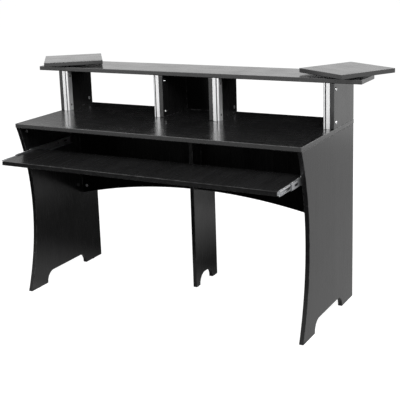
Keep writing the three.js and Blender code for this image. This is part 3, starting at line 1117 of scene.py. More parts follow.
@dataclass
class Carcass:
    """The boards from the floor up to the worktop."""

    shop: Workshop
    boards: Boards
    front_foot: float = 122.0
    rear_foot: float = 130.0
    arch_depth: float = 70.0
    leg_front_foot: float = 35.0
    leg_rear_foot: float = 48.0
    modesty_rise: float = 81.0
    modesty_half: float = 642.0

    def side_panels(self) -> None:
        """The two arched side panels, whose grain stands upright."""
        for side in Side:
            node = f"side_panel_{side.value}"
            low, high = node_box(node)
            _, depth, height = high - low
            outline = self.boards.footed(depth, height, self.front_foot, self.rear_foot, self.arch_depth)
            placement = Placement(low, Y, Z)
            cams = {f"cam_{node}_front": Z, f"cam_{node}_rear": Z}
            sockets = self.boards.sockets(placement, cams, side is Side.LEFT)
            plate = self.boards.plate(node, outline, placement, True, sockets)
            # The darker edge band is painted shade.
            self.shop.board(node, plate, band=self.shop.dull_band)

    def centre_leg(self) -> None:
        """The narrow upright board in the middle."""
        node = "centre_leg"
        low, high = node_box(node)
        _, depth, height = high - low
        outline = self.boards.footed(depth, height, self.leg_front_foot, self.leg_rear_foot, 0.0)
        placement = Placement(low, Y, Z)
        sockets = self.boards.sockets(placement, {f"cam_{node}": Z}, True)
        plate = self.boards.plate(node, outline, placement, True, sockets)
        # The darker edge band is painted shade.
        self.shop.board(node, plate, band=self.shop.dull_band)

    def modesty_panels(self) -> None:
        """The two back boards, whose lower edges follow one circle across the desk.

        The edge's height at a distance x from the desk's middle is the root of the circle's radius squared
        less x squared, less the same root at the arch's end.
        """
        boxes = {side: node_box(f"modesty_panel_{side.value}") for side in Side}
        middle = (boxes[Side.LEFT][0][0] + boxes[Side.RIGHT][1][0]) / 2
        near, half = (corner[0] - middle for corner in boxes[Side.RIGHT])
        rise = self.modesty_rise * (half / self.modesty_half) ** 2
        radius = half**2 / (2 * rise) + rise / 2
        r = self.boards.corner
        for side, (low, high) in boxes.items():
            node = f"modesty_panel_{side.value}"
            width, _, height = high - low
            x = np.sort(np.linspace(near, half, self.boards.arch_spans + 1) * side.sign)
            lift = np.sqrt(radius**2 - x**2) - math.sqrt(radius**2 - half**2)
            along = x + middle - low[0]
            arch = [(a, b, 0.0) for a, b in zip(along[1:-1], lift[1:-1])]
            corners = [(0, lift[0], r), *arch, (width, lift[-1], r), (width, height, r), (0, height, r)]
            placement = Placement(np.array([low[0], high[1], low[2]]), X, Z)
            cams = {f"cam_{node}_outer": X * side.sign, f"cam_{node}_inner": X * -side.sign}
            sockets = self.boards.sockets(placement, cams, True)
            plate = self.boards.plate(node, soften(corners), placement, True, sockets)
            # The darker laminate is painted shade on the modesty panels.
            self.shop.board(node, plate, self.shop.shaded)

    def worktop(self) -> None:
        """The worktop, with its grain along the desk."""
        node = "worktop"
        low, high = node_box(node)
        outline = self.boards.rectangle(high[0] - low[0], high[1] - low[1])
        self.shop.board(node, self.boards.plate(node, outline, Placement(low, X, Y), False))

    def build(self) -> None:
        """Makes every board of the carcass."""
        self.side_panels()
        self.centre_leg()
        self.modesty_panels()
        self.worktop()


@dataclass
class UpperBays:
    """The dividers, the shelf on them and the board behind the middle bay."""

    shop: Workshop
    boards: Boards
    corner_cut: float = 75.0

    def dividers(self) -> None:
        """The four dividers, each with two cam sockets on its rack bay's side."""
        for divider in Divider:
            node = f"divider_{divider.label}"
            low, high = node_box(node)
            outline = self.boards.rectangle(high[1] - low[1], high[2] - low[2])
            placement = Placement(low, Y, Z)
            cams = {f"cam_{node}_lower": -Z, f"cam_{node}_upper": Z}
            sockets = self.boards.sockets(placement, cams, divider.bay_way > 0)
            self.shop.board(node, self.boards.plate(node, outline, placement, True, sockets))

    def bay_back(self) -> None:
        """The board that closes the middle bay behind."""
        node = "centre_bay_back"
        low, high = node_box(node)
        outline = self.boards.rectangle(high[0] - low[0], high[2] - low[2])
        placement = Placement(np.array([low[0], high[1], low[2]]), X, Z)
        # The darker laminate is painted shade on the middle bay's back board.
        self.shop.board(node, self.boards.plate(node, outline, placement, True), self.shop.shaded)

    def shelf(self) -> None:
        """The shelf, with its two back corners cut off."""
        node = "top_shelf"
        low, high = node_box(node)
        width, depth = (high - low)[:2]
        r = self.boards.corner
        cut = self.corner_cut
        corners = [(0, 0, r), (width, 0, r), (width, depth - cut, r)]
        corners += [(width - cut, depth, r), (cut, depth, r), (0, depth - cut, r)]
        self.shop.board(node, self.boards.plate(node, soften(corners), Placement(low, X, Y), False))

    def build(self) -> None:
        """Makes every board above the worktop."""
        self.dividers()
        self.bay_back()
        self.shelf()


@dataclass(frozen=True)
class SlotCover:
    """A black strip of painted shade that closes a rail's slot, standing for the shade in it: a neck in the
    slot and a head in the nut channel.
    """

    depth: float = 0.6
    neck_play: float = 0.1
    head_play: float = 0.2
    back_play: float = 0.3
    end_gap: float = 0.5
    face_round: float = 0.3
    head_round: float = 0.2
    nick_round: float = 0.05
    spans: int = 2
    support: float = 0.05
    arris: float = 0.1

    def build(self, surface: Surface, rail: RackRails, start: np.ndarray, height: float) -> None:
        """Adds the strip to a rail.

        Args:
            surface: the rail's mesh.
            rail: the rails' sizes.
            start: the rail's lower end, on its front, at the middle of the slot.
            height: the rail's height.
        """
        neck = rail.slot_width / 2 - self.neck_play
        head = rail.channel_width / 2 - self.head_play
        back = rail.wall + rail.channel_depth - self.back_play
        shoulder = rail.wall + self.neck_play
        corners = [(-neck, self.depth, self.face_round), (neck, self.depth, self.face_round)]
        corners += [(neck, shoulder, self.nick_round), (head, shoulder, self.head_round)]
        corners += [(head, back, self.head_round), (-head, back, self.head_round)]
        corners += [(-head, shoulder, self.head_round), (-neck, shoulder, self.nick_round)]
        section = soften(corners, self.spans, self.support)
        lower_end = Placement(start + Z * self.end_gap, X, Y)
        strip = Plate(
            section, height - 2 * self.end_gap, self.arris, lower_end, face_finish=SECOND_FINISH,
            edge_finish=SECOND_FINISH, arris_steps=1, rim=self.support,
        )
        strip.build(surface)


@dataclass(frozen=True)
class RailScrew:
    """A screw with a domed head and a hexagon socket, which holds a rail to its divider."""

    head_radius: float = 7.0
    head_height: float = 3.5
    head_rim: float = 0.9
    rim_bevel: float = 0.3
    hex_reach: float = 2.3
    hex_depth: float = 1.9
    hex_point: float = 0.5
    shank_radius: float = 3.0
    shank_length: float = 25.0
    tip_length: float = 0.9
    tip_bevel: float = 0.8
    steps: int = 48
    dome_rings: int = 8

    def head(self) -> np.ndarray:
        """The head's rings, from the shank over the rim and the dome to the point of the socket's floor.

        The dome's height at a radius r is h times the root of 1 - (r / R)^2 over a straight rim. The socket's
        ring lies at a / cos of the angle from the middle of its side.

        Returns:
            Rings by steps by 3, in the screw's own directions.
        """
        angle = np.linspace(0.0, 2 * math.pi, self.steps + 1)
        within = np.mod(angle, math.pi / 3) - math.pi / 6
        hexagon = self.hex_reach / np.cos(within)
        share = np.linspace(1.0, 0.0, self.dome_rings)[:, None]
        radius = hexagon[None] + (self.head_radius - hexagon[None]) * share
        crown = self.head_height - self.head_rim
        dome = self.head_rim + crown * np.sqrt(np.clip(1 - (radius / self.head_radius) ** 2, 0, 1))
        under = np.array([self.shank_radius, self.head_radius - self.rim_bevel, self.head_radius])
        lift = np.array([0.0, 0.0, self.rim_bevel])
        floor = np.full_like(angle, dome[-1].min() - self.hex_depth)
        flat = np.ones_like(angle)
        rings = np.vstack([under[:, None] * flat, radius, hexagon, 0 * angle])
        heights = np.vstack([lift[:, None] * flat, dome, floor, floor - self.hex_point])
        return np.stack([rings * np.cos(angle), rings * np.sin(angle), heights], axis=2)

    def build(self, shop: Workshop, node: str, head_way: int) -> None:
        """Makes a screw; its shank is a plain rod with a bevelled tip.

        Args:
            shop: the workshop.
            node: the screw's name.
            head_way: the direction of its head along X.
        """
        low, high = node_box(node)
        centre = (low + high) / 2
        face = high[0] if head_way > 0 else low[0]
        start = np.array([face - head_way * self.head_height, centre[1], centre[2]])
        axis = Placement(start, Y, Z) if head_way > 0 else Placement(start, Z, Y)
        surface = Surface()
        surface.grid(axis.place(self.head()))
        r = self.shank_radius
        tip = -self.shank_length - self.tip_length
        shank = np.array([(r, 0.0), (r, -self.shank_length), (r - self.tip_bevel, tip), (0.0, tip)])
        surface.lathe(shank, axis, self.steps)
        shop.place(surface, node, Slot.SCREW, [shop.nickel])


@dataclass
class RackRails:
    """The aluminium rails beside the dividers, and the screws that hold them.

    The profile of a plug in an access hole is the radius and height of each of its rings.
    """

    shop: Workshop
    cover: SlotCover = SlotCover()
    fastener: RailScrew = RailScrew()
    wall: float = 2.0
    slot_middle: float = 17.5
    slot_width: float = 5.0
    slot_lip: float = 0.6
    channel_width: float = 9.0
    channel_depth: float = 4.0
    corner: float = 0.8
    free_corner: float = 7.0
    spans: int = 3
    support: float = 0.15
    end_arris: float = 0.25
    end_rim: float = 0.1
    bore_mouth: float = 0.05
    screw_inset: float = 25.0
    screw_setback: float = 20.0
    plug_profile: tuple[Pair, ...] = (
        (0.0, 0.0), (4.5, 0.0), (4.5, 0.35), (4.2, 0.6), (2.7, 0.7), (0.0, 0.75)
    )
    plug_steps: int = 28

    def section(self, width: float, depth: float) -> tuple[np.ndarray, np.ndarray]:
        """A rail's section, from the divider's face and its own front.

        Args:
            width: how far it stands into the bay.
            depth: how far it reaches behind its front.

        Returns:
            The outer outline with its slot and nut channel, and the hollow's outline, both counterclockwise.
        """
        r = self.corner
        small = r / 2
        lip = self.slot_lip
        wall = self.wall
        slot = (self.slot_middle - self.slot_width / 2, self.slot_middle + self.slot_width / 2)
        channel = (self.slot_middle - self.channel_width / 2, self.slot_middle + self.channel_width / 2)
        floor = wall + self.channel_depth
        skin = [(0, 0, r), (slot[0], 0, lip), (slot[0], wall, small), (channel[0], wall, small)]
        skin += [(channel[0], floor, small), (channel[1], floor, small), (channel[1], wall, small)]
        skin += [(slot[1], wall, small), (slot[1], 0, lip), (width, 0, self.free_corner)]
        skin += [(width, depth, r), (0, depth, r)]
        step = (channel[0] - wall, channel[1] + wall)
        front = floor + wall
        right = width - wall
        back = depth - wall
        hollow = [(wall, wall, small), (step[0], wall, small), (step[0], front, small)]
        hollow += [(step[1], front, small), (step[1], wall, small), (right, wall, small)]
        hollow += [(right, back, small), (wall, back, small)]
        return soften(skin, self.spans, self.support), soften(hollow, self.spans, self.support)

    def rails(self) -> None:
        """The four rails, each a section carried up from the worktop to the shelf."""
        for divider in Divider:
            node = f"rack_rail_{divider.label}"
            low, high = node_box(node)
            width, depth, height = high - low
            loops = self.section(width, depth)
            if divider.bay_way < 0:
                loops = [(loop * [-1.0, 1.0])[::-1] + [width, 0.0] for loop in loops]
            bore = Pocket(loops[1], height, mouth=self.bore_mouth)
            place = Placement(low, X, Y)
            rail = Plate(loops[0], height, self.end_arris, place, [bore], arris_steps=2, rim=self.end_rim)
            surface = Surface()
            rail.build(surface)
            start = low if divider.bay_way > 0 else low + X * width
            # The black strip in the slot is painted shade.
            self.cover.build(surface, self, start + X * divider.bay_way * self.slot_middle, height)
            self._plugs(surface, start, high - low, divider.bay_way)
            self.shop.place(surface, node, Slot.RAIL, [self.shop.rail, self.shop.plastic])

    def _plugs(self, surface: Surface, start: np.ndarray, size: np.ndarray, bay_way: int) -> None:
        """Adds the low black plugs of the access holes opposite the screws.

        Args:
            surface: the rail's mesh.
            start: the rail's lower end, on its front, at the divider.
            size: the rail's size.
            bay_way: the direction along X into the bay.
        """
        axes = (Y, Z) if bay_way > 0 else (Z, Y)
        side = start + X * bay_way * size[0] + Y * self.screw_setback
        for level in (self.screw_inset, size[2] - self.screw_inset):
            place = Placement(side + Z * level, *axes)
            surface.lathe(np.array(self.plug_profile), place, self.plug_steps, SECOND_FINISH)

    def build(self) -> None:
        """Makes the rails and their screws."""
        self.rails()
        for divider in Divider:
            for level in ("lower", "upper"):
                self.fastener.build(self.shop, f"rail_screw_{divider.label}_{level}", -divider.bay_way)


@dataclass
class CamFittings:
    """The cast cams that draw the boards together, each with its bolt."""

    shop: Workshop
    boards: Boards
    thickness: float = 12.5
    recess: float = 0.3
    arris: float = 0.35
    disc_steps: int = 60
    arm: float = 4.2
    arm_width: float = 1.9
    arm_round: float = 0.3
    arm_spans: int = 3
    arm_support: float = 0.1
    cross_depth: float = 2.2
    bolt_radius: float = 3.4
    bolt_depth: float = 9.0
    bolt_root: float = 1.0
    bolt_bevel: float = 0.8
    bolt_steps: int = 24

    def cross(self) -> np.ndarray:
        """The outline of a cross recess: an arm's end and its inner corner, turned to each of the four sides.

        Returns:
            The outline with eased corners, counterclockwise.
        """
        half = self.arm_width / 2
        arm = [(self.arm, -half), (self.arm, half), (half, half)]
        corners = []
        for _ in range(4):
            corners += [(a, b, self.arm_round) for a, b in arm]
            arm = [(-b, a) for a, b in arm]
        return soften(corners, self.arm_spans, self.arm_support)

    def cam(self, node: str, facing: np.ndarray, drawing: np.ndarray) -> None:
        """One cam and its bolt.

        Args:
            node: the cam's name.
            facing: the direction out of the board's face.
            drawing: the direction that its bolt runs.
        """
        low, high = node_box(node)
        radius = self.boards.cam_radius
        face = np.where(facing > 0, high, low)
        centre = np.where(facing == 0, cam_centre(node, drawing, radius), face)
        across = np.cross(drawing, facing)
        cross = Pocket(self.cross(), self.cross_depth)
        back = Placement(centre - facing * self.thickness, across, drawing)
        surface = Surface()
        disc = Plate(circle(radius, self.disc_steps), self.thickness - self.recess, self.arris, back, [cross])
        disc.build(surface)
        r = self.bolt_radius
        reach = float((high - low) @ np.abs(drawing)) - 2 * radius
        tip = reach + self.bolt_bevel
        rod = np.array([(0.0, 0.0), (r, 0.0), (r, reach), (r - self.bolt_bevel, tip), (0.0, tip)])
        root = centre - facing * self.bolt_depth + drawing * (radius - self.bolt_root)
        surface.lathe(rod, Placement(root, facing, across), self.bolt_steps)
        self.shop.place(surface, node, Slot.CAM, [self.shop.cam])

    def build(self) -> None:
        """Makes the fittings of the dividers, side panels, modesty panels and leg."""
        for divider in Divider:
            self.cam(f"cam_divider_{divider.label}_lower", X * divider.bay_way, -Z)
            self.cam(f"cam_divider_{divider.label}_upper", X * divider.bay_way, Z)
        for side in Side:
            self.cam(f"cam_side_panel_{side.value}_front", X * -side.sign, Z)
            self.cam(f"cam_side_panel_{side.value}_rear", X * -side.sign, Z)
            self.cam(f"cam_modesty_panel_{side.value}_outer", -Y, X * side.sign)
            self.cam(f"cam_modesty_panel_{side.value}_inner", -Y, X * -side.sign)
        self.cam("cam_centre_leg", X, Z)


@dataclass
class Glides:
    """The plastic glides under the feet: a low dome with a shoulder."""

    shop: Workshop
    shoulder: float = 1.1
    taper: float = 0.28
    ease: float = 0.3
    rings: int = 7
    steps: int = 40

    def build(self) -> None:
        """Makes the six glides; the dome's radius falls as the square of its depth below the shoulder."""
        for end in ("left_front", "left_rear", "right_front", "right_rear", "centre_front", "centre_rear"):
            node = f"glide_{end}"
            low, high = node_box(node)
            radius = (high[0] - low[0]) / 2
            height = high[2] - low[2]
            fall = np.linspace(0.0, 1.0, self.rings)
            under = height - self.shoulder
            dome = np.stack([radius * (1 - self.taper * fall**2), under * (1 - fall)], axis=1)
            top = [(0.0, height), (radius - self.ease, height), (radius, height - self.ease)]
            foot = Placement(np.array([*(low + high)[:2] / 2, low[2]]), X, Y)
            surface = Surface()
            surface.lathe(np.concatenate([top, dome, [(0.0, 0.0)]]), foot, self.steps)
            self.shop.place(surface, node, Slot.PLASTIC, [self.shop.plastic])


@dataclass(frozen=True)
class Channel:
    """What sets one member of a slide apart; its ball line is 0 where it carries no balls.

    A hole of the web is its distance behind the member's front end, its length and its width.
    """

    label: str
    opens_inwards: bool
    lip: float
    ball_line: float
    holes: tuple[Triple, ...]


class Member(Enum):
    """The three members of a slide."""

    OUTER = Channel("outer", True, 3.6, 0.0, ((60.0, 14.0, 5.0), (150.0, 0.0, 5.0), (262.0, 22.0, 5.0)))
    MIDDLE = Channel("middle", True, 3.2, 4.45, ((42.0, 33.0, 9.0), (132.0, 33.0, 9.0), (222.0, 33.0, 9.0)))
    INNER = Channel(
        "inner", False, 3.2, 6.7, ((52.0, 9.0, 5.5), (112.0, 0.0, 7.5), (170.0, 14.0, 5.5), (252.0, 0.0, 5.0))
    )


@dataclass(frozen=True)
class BallRows:
    """The two rows of balls of a member and the cages that hold them over its flanges."""

    ball: float = 1.1
    pitch: float = 6.5
    end_gap: float = 8.0
    cage_half_width: float = 1.6
    cage_half_height: float = 0.3
    cage_round: float = 0.2
    cage_spans: int = 3
    cage_support: float = 0.05
    cage_gap: float = 3.0
    cage_arris: float = 0.1

    def build(self, surface: Surface, start: np.ndarray, length: float, half: float) -> None:
        """Adds both rows with their cages.

        Args:
            surface: the member's mesh.
            start: the front end of the ball line, at half the member's height.
            length: how long the member is.
            half: half its height without the balls.
        """
        run = np.arange(self.end_gap, length - self.end_gap, self.pitch)
        a, b, r = self.cage_half_width, self.cage_half_height, self.cage_round
        cage = soften([(-a, -b, r), (a, -b, r), (a, b, r), (-a, b, r)], self.cage_spans, self.cage_support)
        for way in (-1, 1):
            line = start + Z * way * (half + self.ball)
            surface.balls(line + run[:, None] * Y, self.ball, SECOND_FINISH)
            rear = Placement(line + Y * (length - self.cage_gap), X, Z)
            reach = length - 2 * self.cage_gap
            strip = Plate(cage, reach, self.cage_arris, rear, arris_steps=1, rim=self.cage_support)
            strip.build(surface)


@dataclass(frozen=True)
class Lever:
    """The black lever that lets the tray out of its slides: a blade that widens to a blunt point."""

    start: float = 70.0
    shoulder: float = 26.0
    length: float = 30.0
    half_width: float = 2.2
    half_head: float = 3.4
    corner: float = 1.0
    head_corner: float = 1.5
    spans: int = 5
    support: float = 0.2
    thickness: float = 2.0
    arris: float = 0.4
    rim: float = 0.1
    lift: float = 1.5

    def build(self, surface: Surface, web: np.ndarray, opens: int) -> None:
        """Adds the lever to the inner member.

        Args:
            surface: the member's mesh.
            web: the front end of the web's inner face, at half its height.
            opens: the direction along X in which the channel opens.
        """
        root, shoulder = self.start, self.start + self.shoulder
        corners = [(root, -self.half_width, self.corner), (shoulder, -self.half_head, self.head_corner)]
        corners += [(root + self.length, 0.0, self.corner), (shoulder, self.half_head, self.head_corner)]
        corners.append((root, self.half_width, self.corner))
        place = Placement(web + X * opens * self.lift, Y, Z * opens)
        blade = Plate(
            soften(corners, self.spans, self.support), self.thickness, self.arris, place,
            face_finish=THIRD_FINISH, edge_finish=THIRD_FINISH, rim=self.rim,
        )
        blade.build(surface)


@dataclass
class KeyboardTray:
    """The tray board and the three-part ball slides at its ends."""

    shop: Workshop
    boards: Boards
    rows: BallRows = BallRows()
    lever: Lever = Lever()
    metal: float = 1.2
    bend: float = 3.0
    root_bend: float = 2.4
    lip_bend: float = 2.0
    lip_end: float = 0.35
    bend_spans: int = 5
    bend_support: float = 0.05
    web_arris: float = 0.1
    flange_arris: float = 0.15
    rim: float = 0.1
    hole_mouth: float = 0.15
    slot_rounding: float = 0.98
    slot_spans: int = 8
    slot_support: float = 0.01
    hole_steps: int = 32
    screw_head: float = 3.9
    head_height: float = 1.3
    head_edge: float = 0.3
    head_rings: int = 6
    head_steps: int = 28
    screw_places: Pair = (30.0, 205.0)
    flange_setback: float = 9.0

    def board(self) -> None:
        """The tray, with its grain running from front to back."""
        node = "keyboard_tray"
        low, high = node_box(node)
        outline = self.boards.rectangle(high[0] - low[0], high[1] - low[1])
        plate = self.boards.plate(node, outline, Placement(low, X, Y), True)
        # The paler laminate is painted light on the tray, and the darker edge band painted shade.
        self.shop.board(node, plate, self.shop.tray, self.shop.dull_band)

    def flange(self, reach: float, half: float, lip: float) -> np.ndarray:
        """The section of a flange: the web's bend, the flat over the balls and the lip that turns in.

        Args:
            reach: how far the flange stands out from the web's outer face.
            half: half the channel's height.
            lip: how far the lip turns in.

        Returns:
            The closed section of the lower flange, counterclockwise.
        """
        t = self.metal
        root = self.bend - half
        corners = [(0.0, root, 0.0), (0.0, -half, self.root_bend), (reach, -half, self.lip_bend)]
        corners += [(reach, lip - half, self.lip_end), (reach - t, lip - half, self.lip_end)]
        corners += [(reach - t, t - half, self.lip_bend - t), (t, t - half, self.root_bend - t)]
        corners.append((t, root, 0.0))
        return soften(corners, self.bend_spans, self.bend_support)

    def web(self, length: float, half: float, holes: tuple[Triple, ...]) -> tuple[np.ndarray, list[Pocket]]:
        """The flat of a channel between its bends, with its round holes and its slots.

        Args:
            length: how long the member is.
            half: half its height.
            holes: the distance behind the front end, the length and the width of each hole.

        Returns:
            The outline, with its front end at 0, and the holes.
        """
        side = half - self.bend
        outline = soften([(0.0, -side, 0.0), (length, -side, 0.0), (length, side, 0.0), (0.0, side, 0.0)])
        loops = []
        for behind, long, wide in holes:
            r = wide / 2
            if long > wide:
                a, b, turn = behind - long / 2, behind + long / 2, self.slot_rounding * r
                corners = [(a, -r, turn), (b, -r, turn), (b, r, turn), (a, r, turn)]
                loops.append(soften(corners, self.slot_spans, self.slot_support))
            else:
                loops.append(circle(r, self.hole_steps, (behind, 0.0)))
        return outline, [Pocket(loop, self.metal, mouth=self.hole_mouth) for loop in loops]

    def member(self, side: Side, member: Member) -> None:
        """One member of a slide: its web and flanges, and its balls, screws and lever.

        Args:
            side: the end of the tray.
            member: which member it is.
        """
        channel = member.value
        node = f"slide_{channel.label}_{side.value}"
        low, high = node_box(node)
        width, length, height = high - low
        opens = -side.sign if channel.opens_inwards else side.sign
        half = height / 2 - (2 * self.rows.ball if channel.ball_line else 0.0)
        front = np.array([low[0] if opens > 0 else high[0], low[1], (low[2] + high[2]) / 2])
        surface = Surface()
        outline, holes = self.web(length, half, channel.holes)
        place = Placement(front, Y, Z * opens)
        web = Plate(outline, self.metal, self.web_arris, place, holes, arris_steps=1, rim=self.rim)
        web.build(surface)
        setback = self.flange_setback if member is Member.INNER else 0.0
        end = Placement(front + Y * (setback if opens < 0 else length), X * opens, Z)
        lower = self.flange(width, half, channel.lip)
        for section in (lower, (lower * [1.0, -1.0])[::-1]):
            flange = Plate(section, length - setback, self.flange_arris, end, arris_steps=1, rim=self.rim)
            flange.build(surface)
        if channel.ball_line:
            self.rows.build(surface, front + X * opens * channel.ball_line, length, half)
        inner_face = front + X * opens * self.metal
        if member is not Member.MIDDLE:
            self._screws(surface, inner_face, opens)
        if member is Member.INNER:
            self.lever.build(surface, inner_face, opens)
        self.shop.place(surface, node, Slot.SLIDE, [self.shop.zinc, self.shop.nickel, self.shop.plastic])

    def _screws(self, surface: Surface, start: np.ndarray, opens: int) -> None:
        """Adds the low heads of the screws that hold a member, each a quarter ellipse over a straight edge.

        Args:
            surface: the member's mesh.
            start: the front end of the web's inner face, at half its height.
            opens: the direction along X in which the channel opens.
        """
        swell = np.linspace(0.0, math.pi / 2, self.head_rings)
        crown = self.head_edge + (self.head_height - self.head_edge) * np.sin(swell)
        dome = np.stack([self.screw_head * np.cos(swell), crown], axis=1)
        profile = np.concatenate([[(0.0, 0.0), (self.screw_head, 0.0)], dome])
        axes = (Y, Z) if opens > 0 else (Z, Y)
        for behind in self.screw_places:
            surface.lathe(profile, Placement(start + Y * behind, *axes), self.head_steps, SECOND_FINISH)

    def build(self) -> None:
        """Makes the tray and both slides."""
        self.board()
        for side in Side:
            for member in Member:
                self.member(side, member)


@dataclass
class SpeakerPlatform:
    """A platform, the turntable under it and the screws that hold them.

    The profile of a screw's head is the radius and height of each of its rings.
    """

    shop: Workshop
    boards: Boards
    side: Side
    left_turn: float = 36.0
    right_turn: float = -31.0
    size: float = 265.0
    plate: float = 100.0
    plate_metal: float = 1.5
    plate_corner: float = 9.0
    corner_spans: int = 8
    plate_arris: float = 0.25
    plate_rim: float = 0.2
    bore_mouth: float = 0.2
    hole_mouth: float = 0.3
    hole_radius: float = 2.6
    hole_steps: int = 28
    screw_inset: float = 11.0
    race_radius: float = 30.0
    race_wall: float = 6.0
    race_gap: float = 0.5
    race_steps: int = 96
    bore_steps: int = 72
    groove_depth: float = 0.9
    groove_reach: float = 0.35
    groove_rings: int = 9
    head_profile: tuple[Pair, ...] = ((0.0, 0.0), (4.0, 0.0), (4.0, 0.3), (3.2, 0.9), (1.6, 1.25), (0.0, 1.3))

    def axes(self) -> tuple[np.ndarray, np.ndarray]:
        """The directions of the platform's sides, turned from X and Y by its angle.

        Returns:
            The directions of its first and second side.
        """
        angle = math.radians(self.left_turn if self.side is Side.LEFT else self.right_turn)
        across = np.array([math.cos(angle), math.sin(angle), 0.0])
        return across, np.array([-across[1], across[0], 0.0])

    def platform(self) -> None:
        """The square board on top, with its grain along its own side."""
        node = f"speaker_platform_{self.side.value}"
        low, high = node_box(node)
        across, up = self.axes()
        centre = (low + high) / 2
        corner = np.array([centre[0], centre[1], low[2]]) - (across + up) * self.size / 2
        outline = self.boards.rectangle(self.size, self.size)
        self.shop.board(node, self.boards.plate(node, outline, Placement(corner, across, up), False))

    def race(self, inner: float, height: float, grooved: bool) -> np.ndarray:
        """The section of a race, whose outer side may be hollowed for the balls.

        The groove's depth at a share g of its half height is its full depth times 1 - g^2.

        Args:
            inner: its inner radius.
            height: its height.
            grooved: whether its outer side is hollowed.

        Returns:
            Radius and height of each ring, closed.
        """
        outer = inner + self.race_wall
        groove = np.linspace(-1.0, 1.0, self.groove_rings)
        hollow = self.groove_depth * (1 - groove**2) * grooved
        wall = np.stack([outer - hollow, height / 2 + groove * height * self.groove_reach], axis=1)
        foot = [(inner, 0.0), (outer, 0.0)]
        return np.concatenate([foot, wall, [(outer, height), (inner, height), (inner, 0.0)]])

    def half(self, name: str, across: np.ndarray, up: np.ndarray, plate_low: bool) -> None:
        """One half of the turntable: a holed plate and its race.

        Args:
            name: base or top.
            across: the direction of the plate's first side.
            up: the direction of its second side.
            plate_low: whether the plate lies under the race.
        """
        node = f"turntable_{name}_{self.side.value}"
        low, high = node_box(node)
        foot = np.array([*(low + high)[:2] / 2, low[2]])
        height = high[2] - low[2]
        seat = foot if plate_low else foot + Z * (height - self.plate_metal)
        outline = soften([(a, b, self.plate_corner) for a, b in square(self.plate / 2)], self.corner_spans)
        inner = self.race_radius - self.race_wall if plate_low else self.race_radius + self.race_gap
        places = square(self.plate / 2 - self.screw_inset)
        holes = [Pocket(circle(inner, self.bore_steps), self.plate_metal, mouth=self.bore_mouth)]
        loops = [circle(self.hole_radius, self.hole_steps, place) for place in places]
        holes += [Pocket(loop, self.plate_metal, mouth=self.hole_mouth) for loop in loops]
        plate = Plate(
            outline, self.plate_metal, self.plate_arris, Placement(seat, across, up), holes, arris_steps=2,
            rim=self.plate_rim,
        )
        surface = Surface()
        plate.build(surface)
        surface.lathe(self.race(inner, height, plate_low), Placement(foot, across, up), self.race_steps)
        face = seat + Z * (self.plate_metal if plate_low else 0.0)
        axes = (across, up) if plate_low else (up, across)
        for a, b in places:
            screw = Placement(face + across * a + up * b, *axes)
            surface.lathe(np.array(self.head_profile), screw, self.hole_steps, SECOND_FINISH)
        self.shop.place(surface, node, Slot.SLIDE, [self.shop.zinc, self.shop.nickel])

    def build(self) -> None:
        """Makes the turntable's two halves and the platform."""
        self.half("base", X, Y, True)
        self.half("top", *self.axes(), False)
        self.platform()


@dataclass(frozen=True)
class Flag:
    """A sheet of painted shade that only reflections see, glowing at its tone, level or upright across the
    desk, in metres.

    It is whole out to its core, a share of its half size, and fades to nothing at its edge.
    """

    name: str
    low: Triple
    high: Triple
    core: float
    tone: float = 0.0

    def corners(self) -> list[Triple]:
        """The sheet's four corners, one after the other round it."""
        (x0, y0, z0), (x1, y1, z1) = self.low, self.high
        return [(x0, y0, z0), (x1, y0, z0), (x1, y1, z1), (x0, y1, z1)]


@dataclass(frozen=True)
class Lamp:
    """A soft square lamp: where it hangs and the length of its side in metres, and its power in watts."""

    name: str
    place: Triple
    size: float
    power: float


# Each flag paints shade into the desk's reflections: the floor flags darken the floor that the desk mirrors in
# front of, beside and behind it, and the upright ones what the bays and the left end mirror.
FLAGS = (
    Flag("bay_flag", (-0.86, 0.36, 0.40), (0.655, 0.36, 0.973), 0.97),
    Flag("left_flag", (-2.6, 0.37, 0.0), (-0.8, 0.37, 0.973), 0.97, 0.38),
    Flag("right_floor_flag", (0.62, -0.4, 0.002), (2.7, 3.4, 0.002), 0.96, 0.61),
    Flag("far_floor_flag", (0.2, 1.2, 0.006), (0.78, 2.8, 0.006), 0.75, 0.08),
    Flag("rear_floor_flag", (-1.2, -0.3, 0.003), (0.68, 2.3, 0.003), 0.85, 0.48),
    Flag("left_floor_flag", (-1.1, 0.0, 0.005), (0.45, 2.0, 0.005), 0.6, 0.06),
    Flag("front_floor_flag", (-4.4, -3.35, 0.004), (1.3, -0.2, 0.004), 0.96),
)
LAMPS = (
    Lamp("key_lamp", (1.8, -2.7, 3.7), 2.4, 190.0),
    Lamp("fill_lamp", (-2.4, -2.6, 2.2), 2.0, 25.0),
    Lamp("rear_lamp", (2.2, 2.8, 3.0), 2.4, 75.0),
)


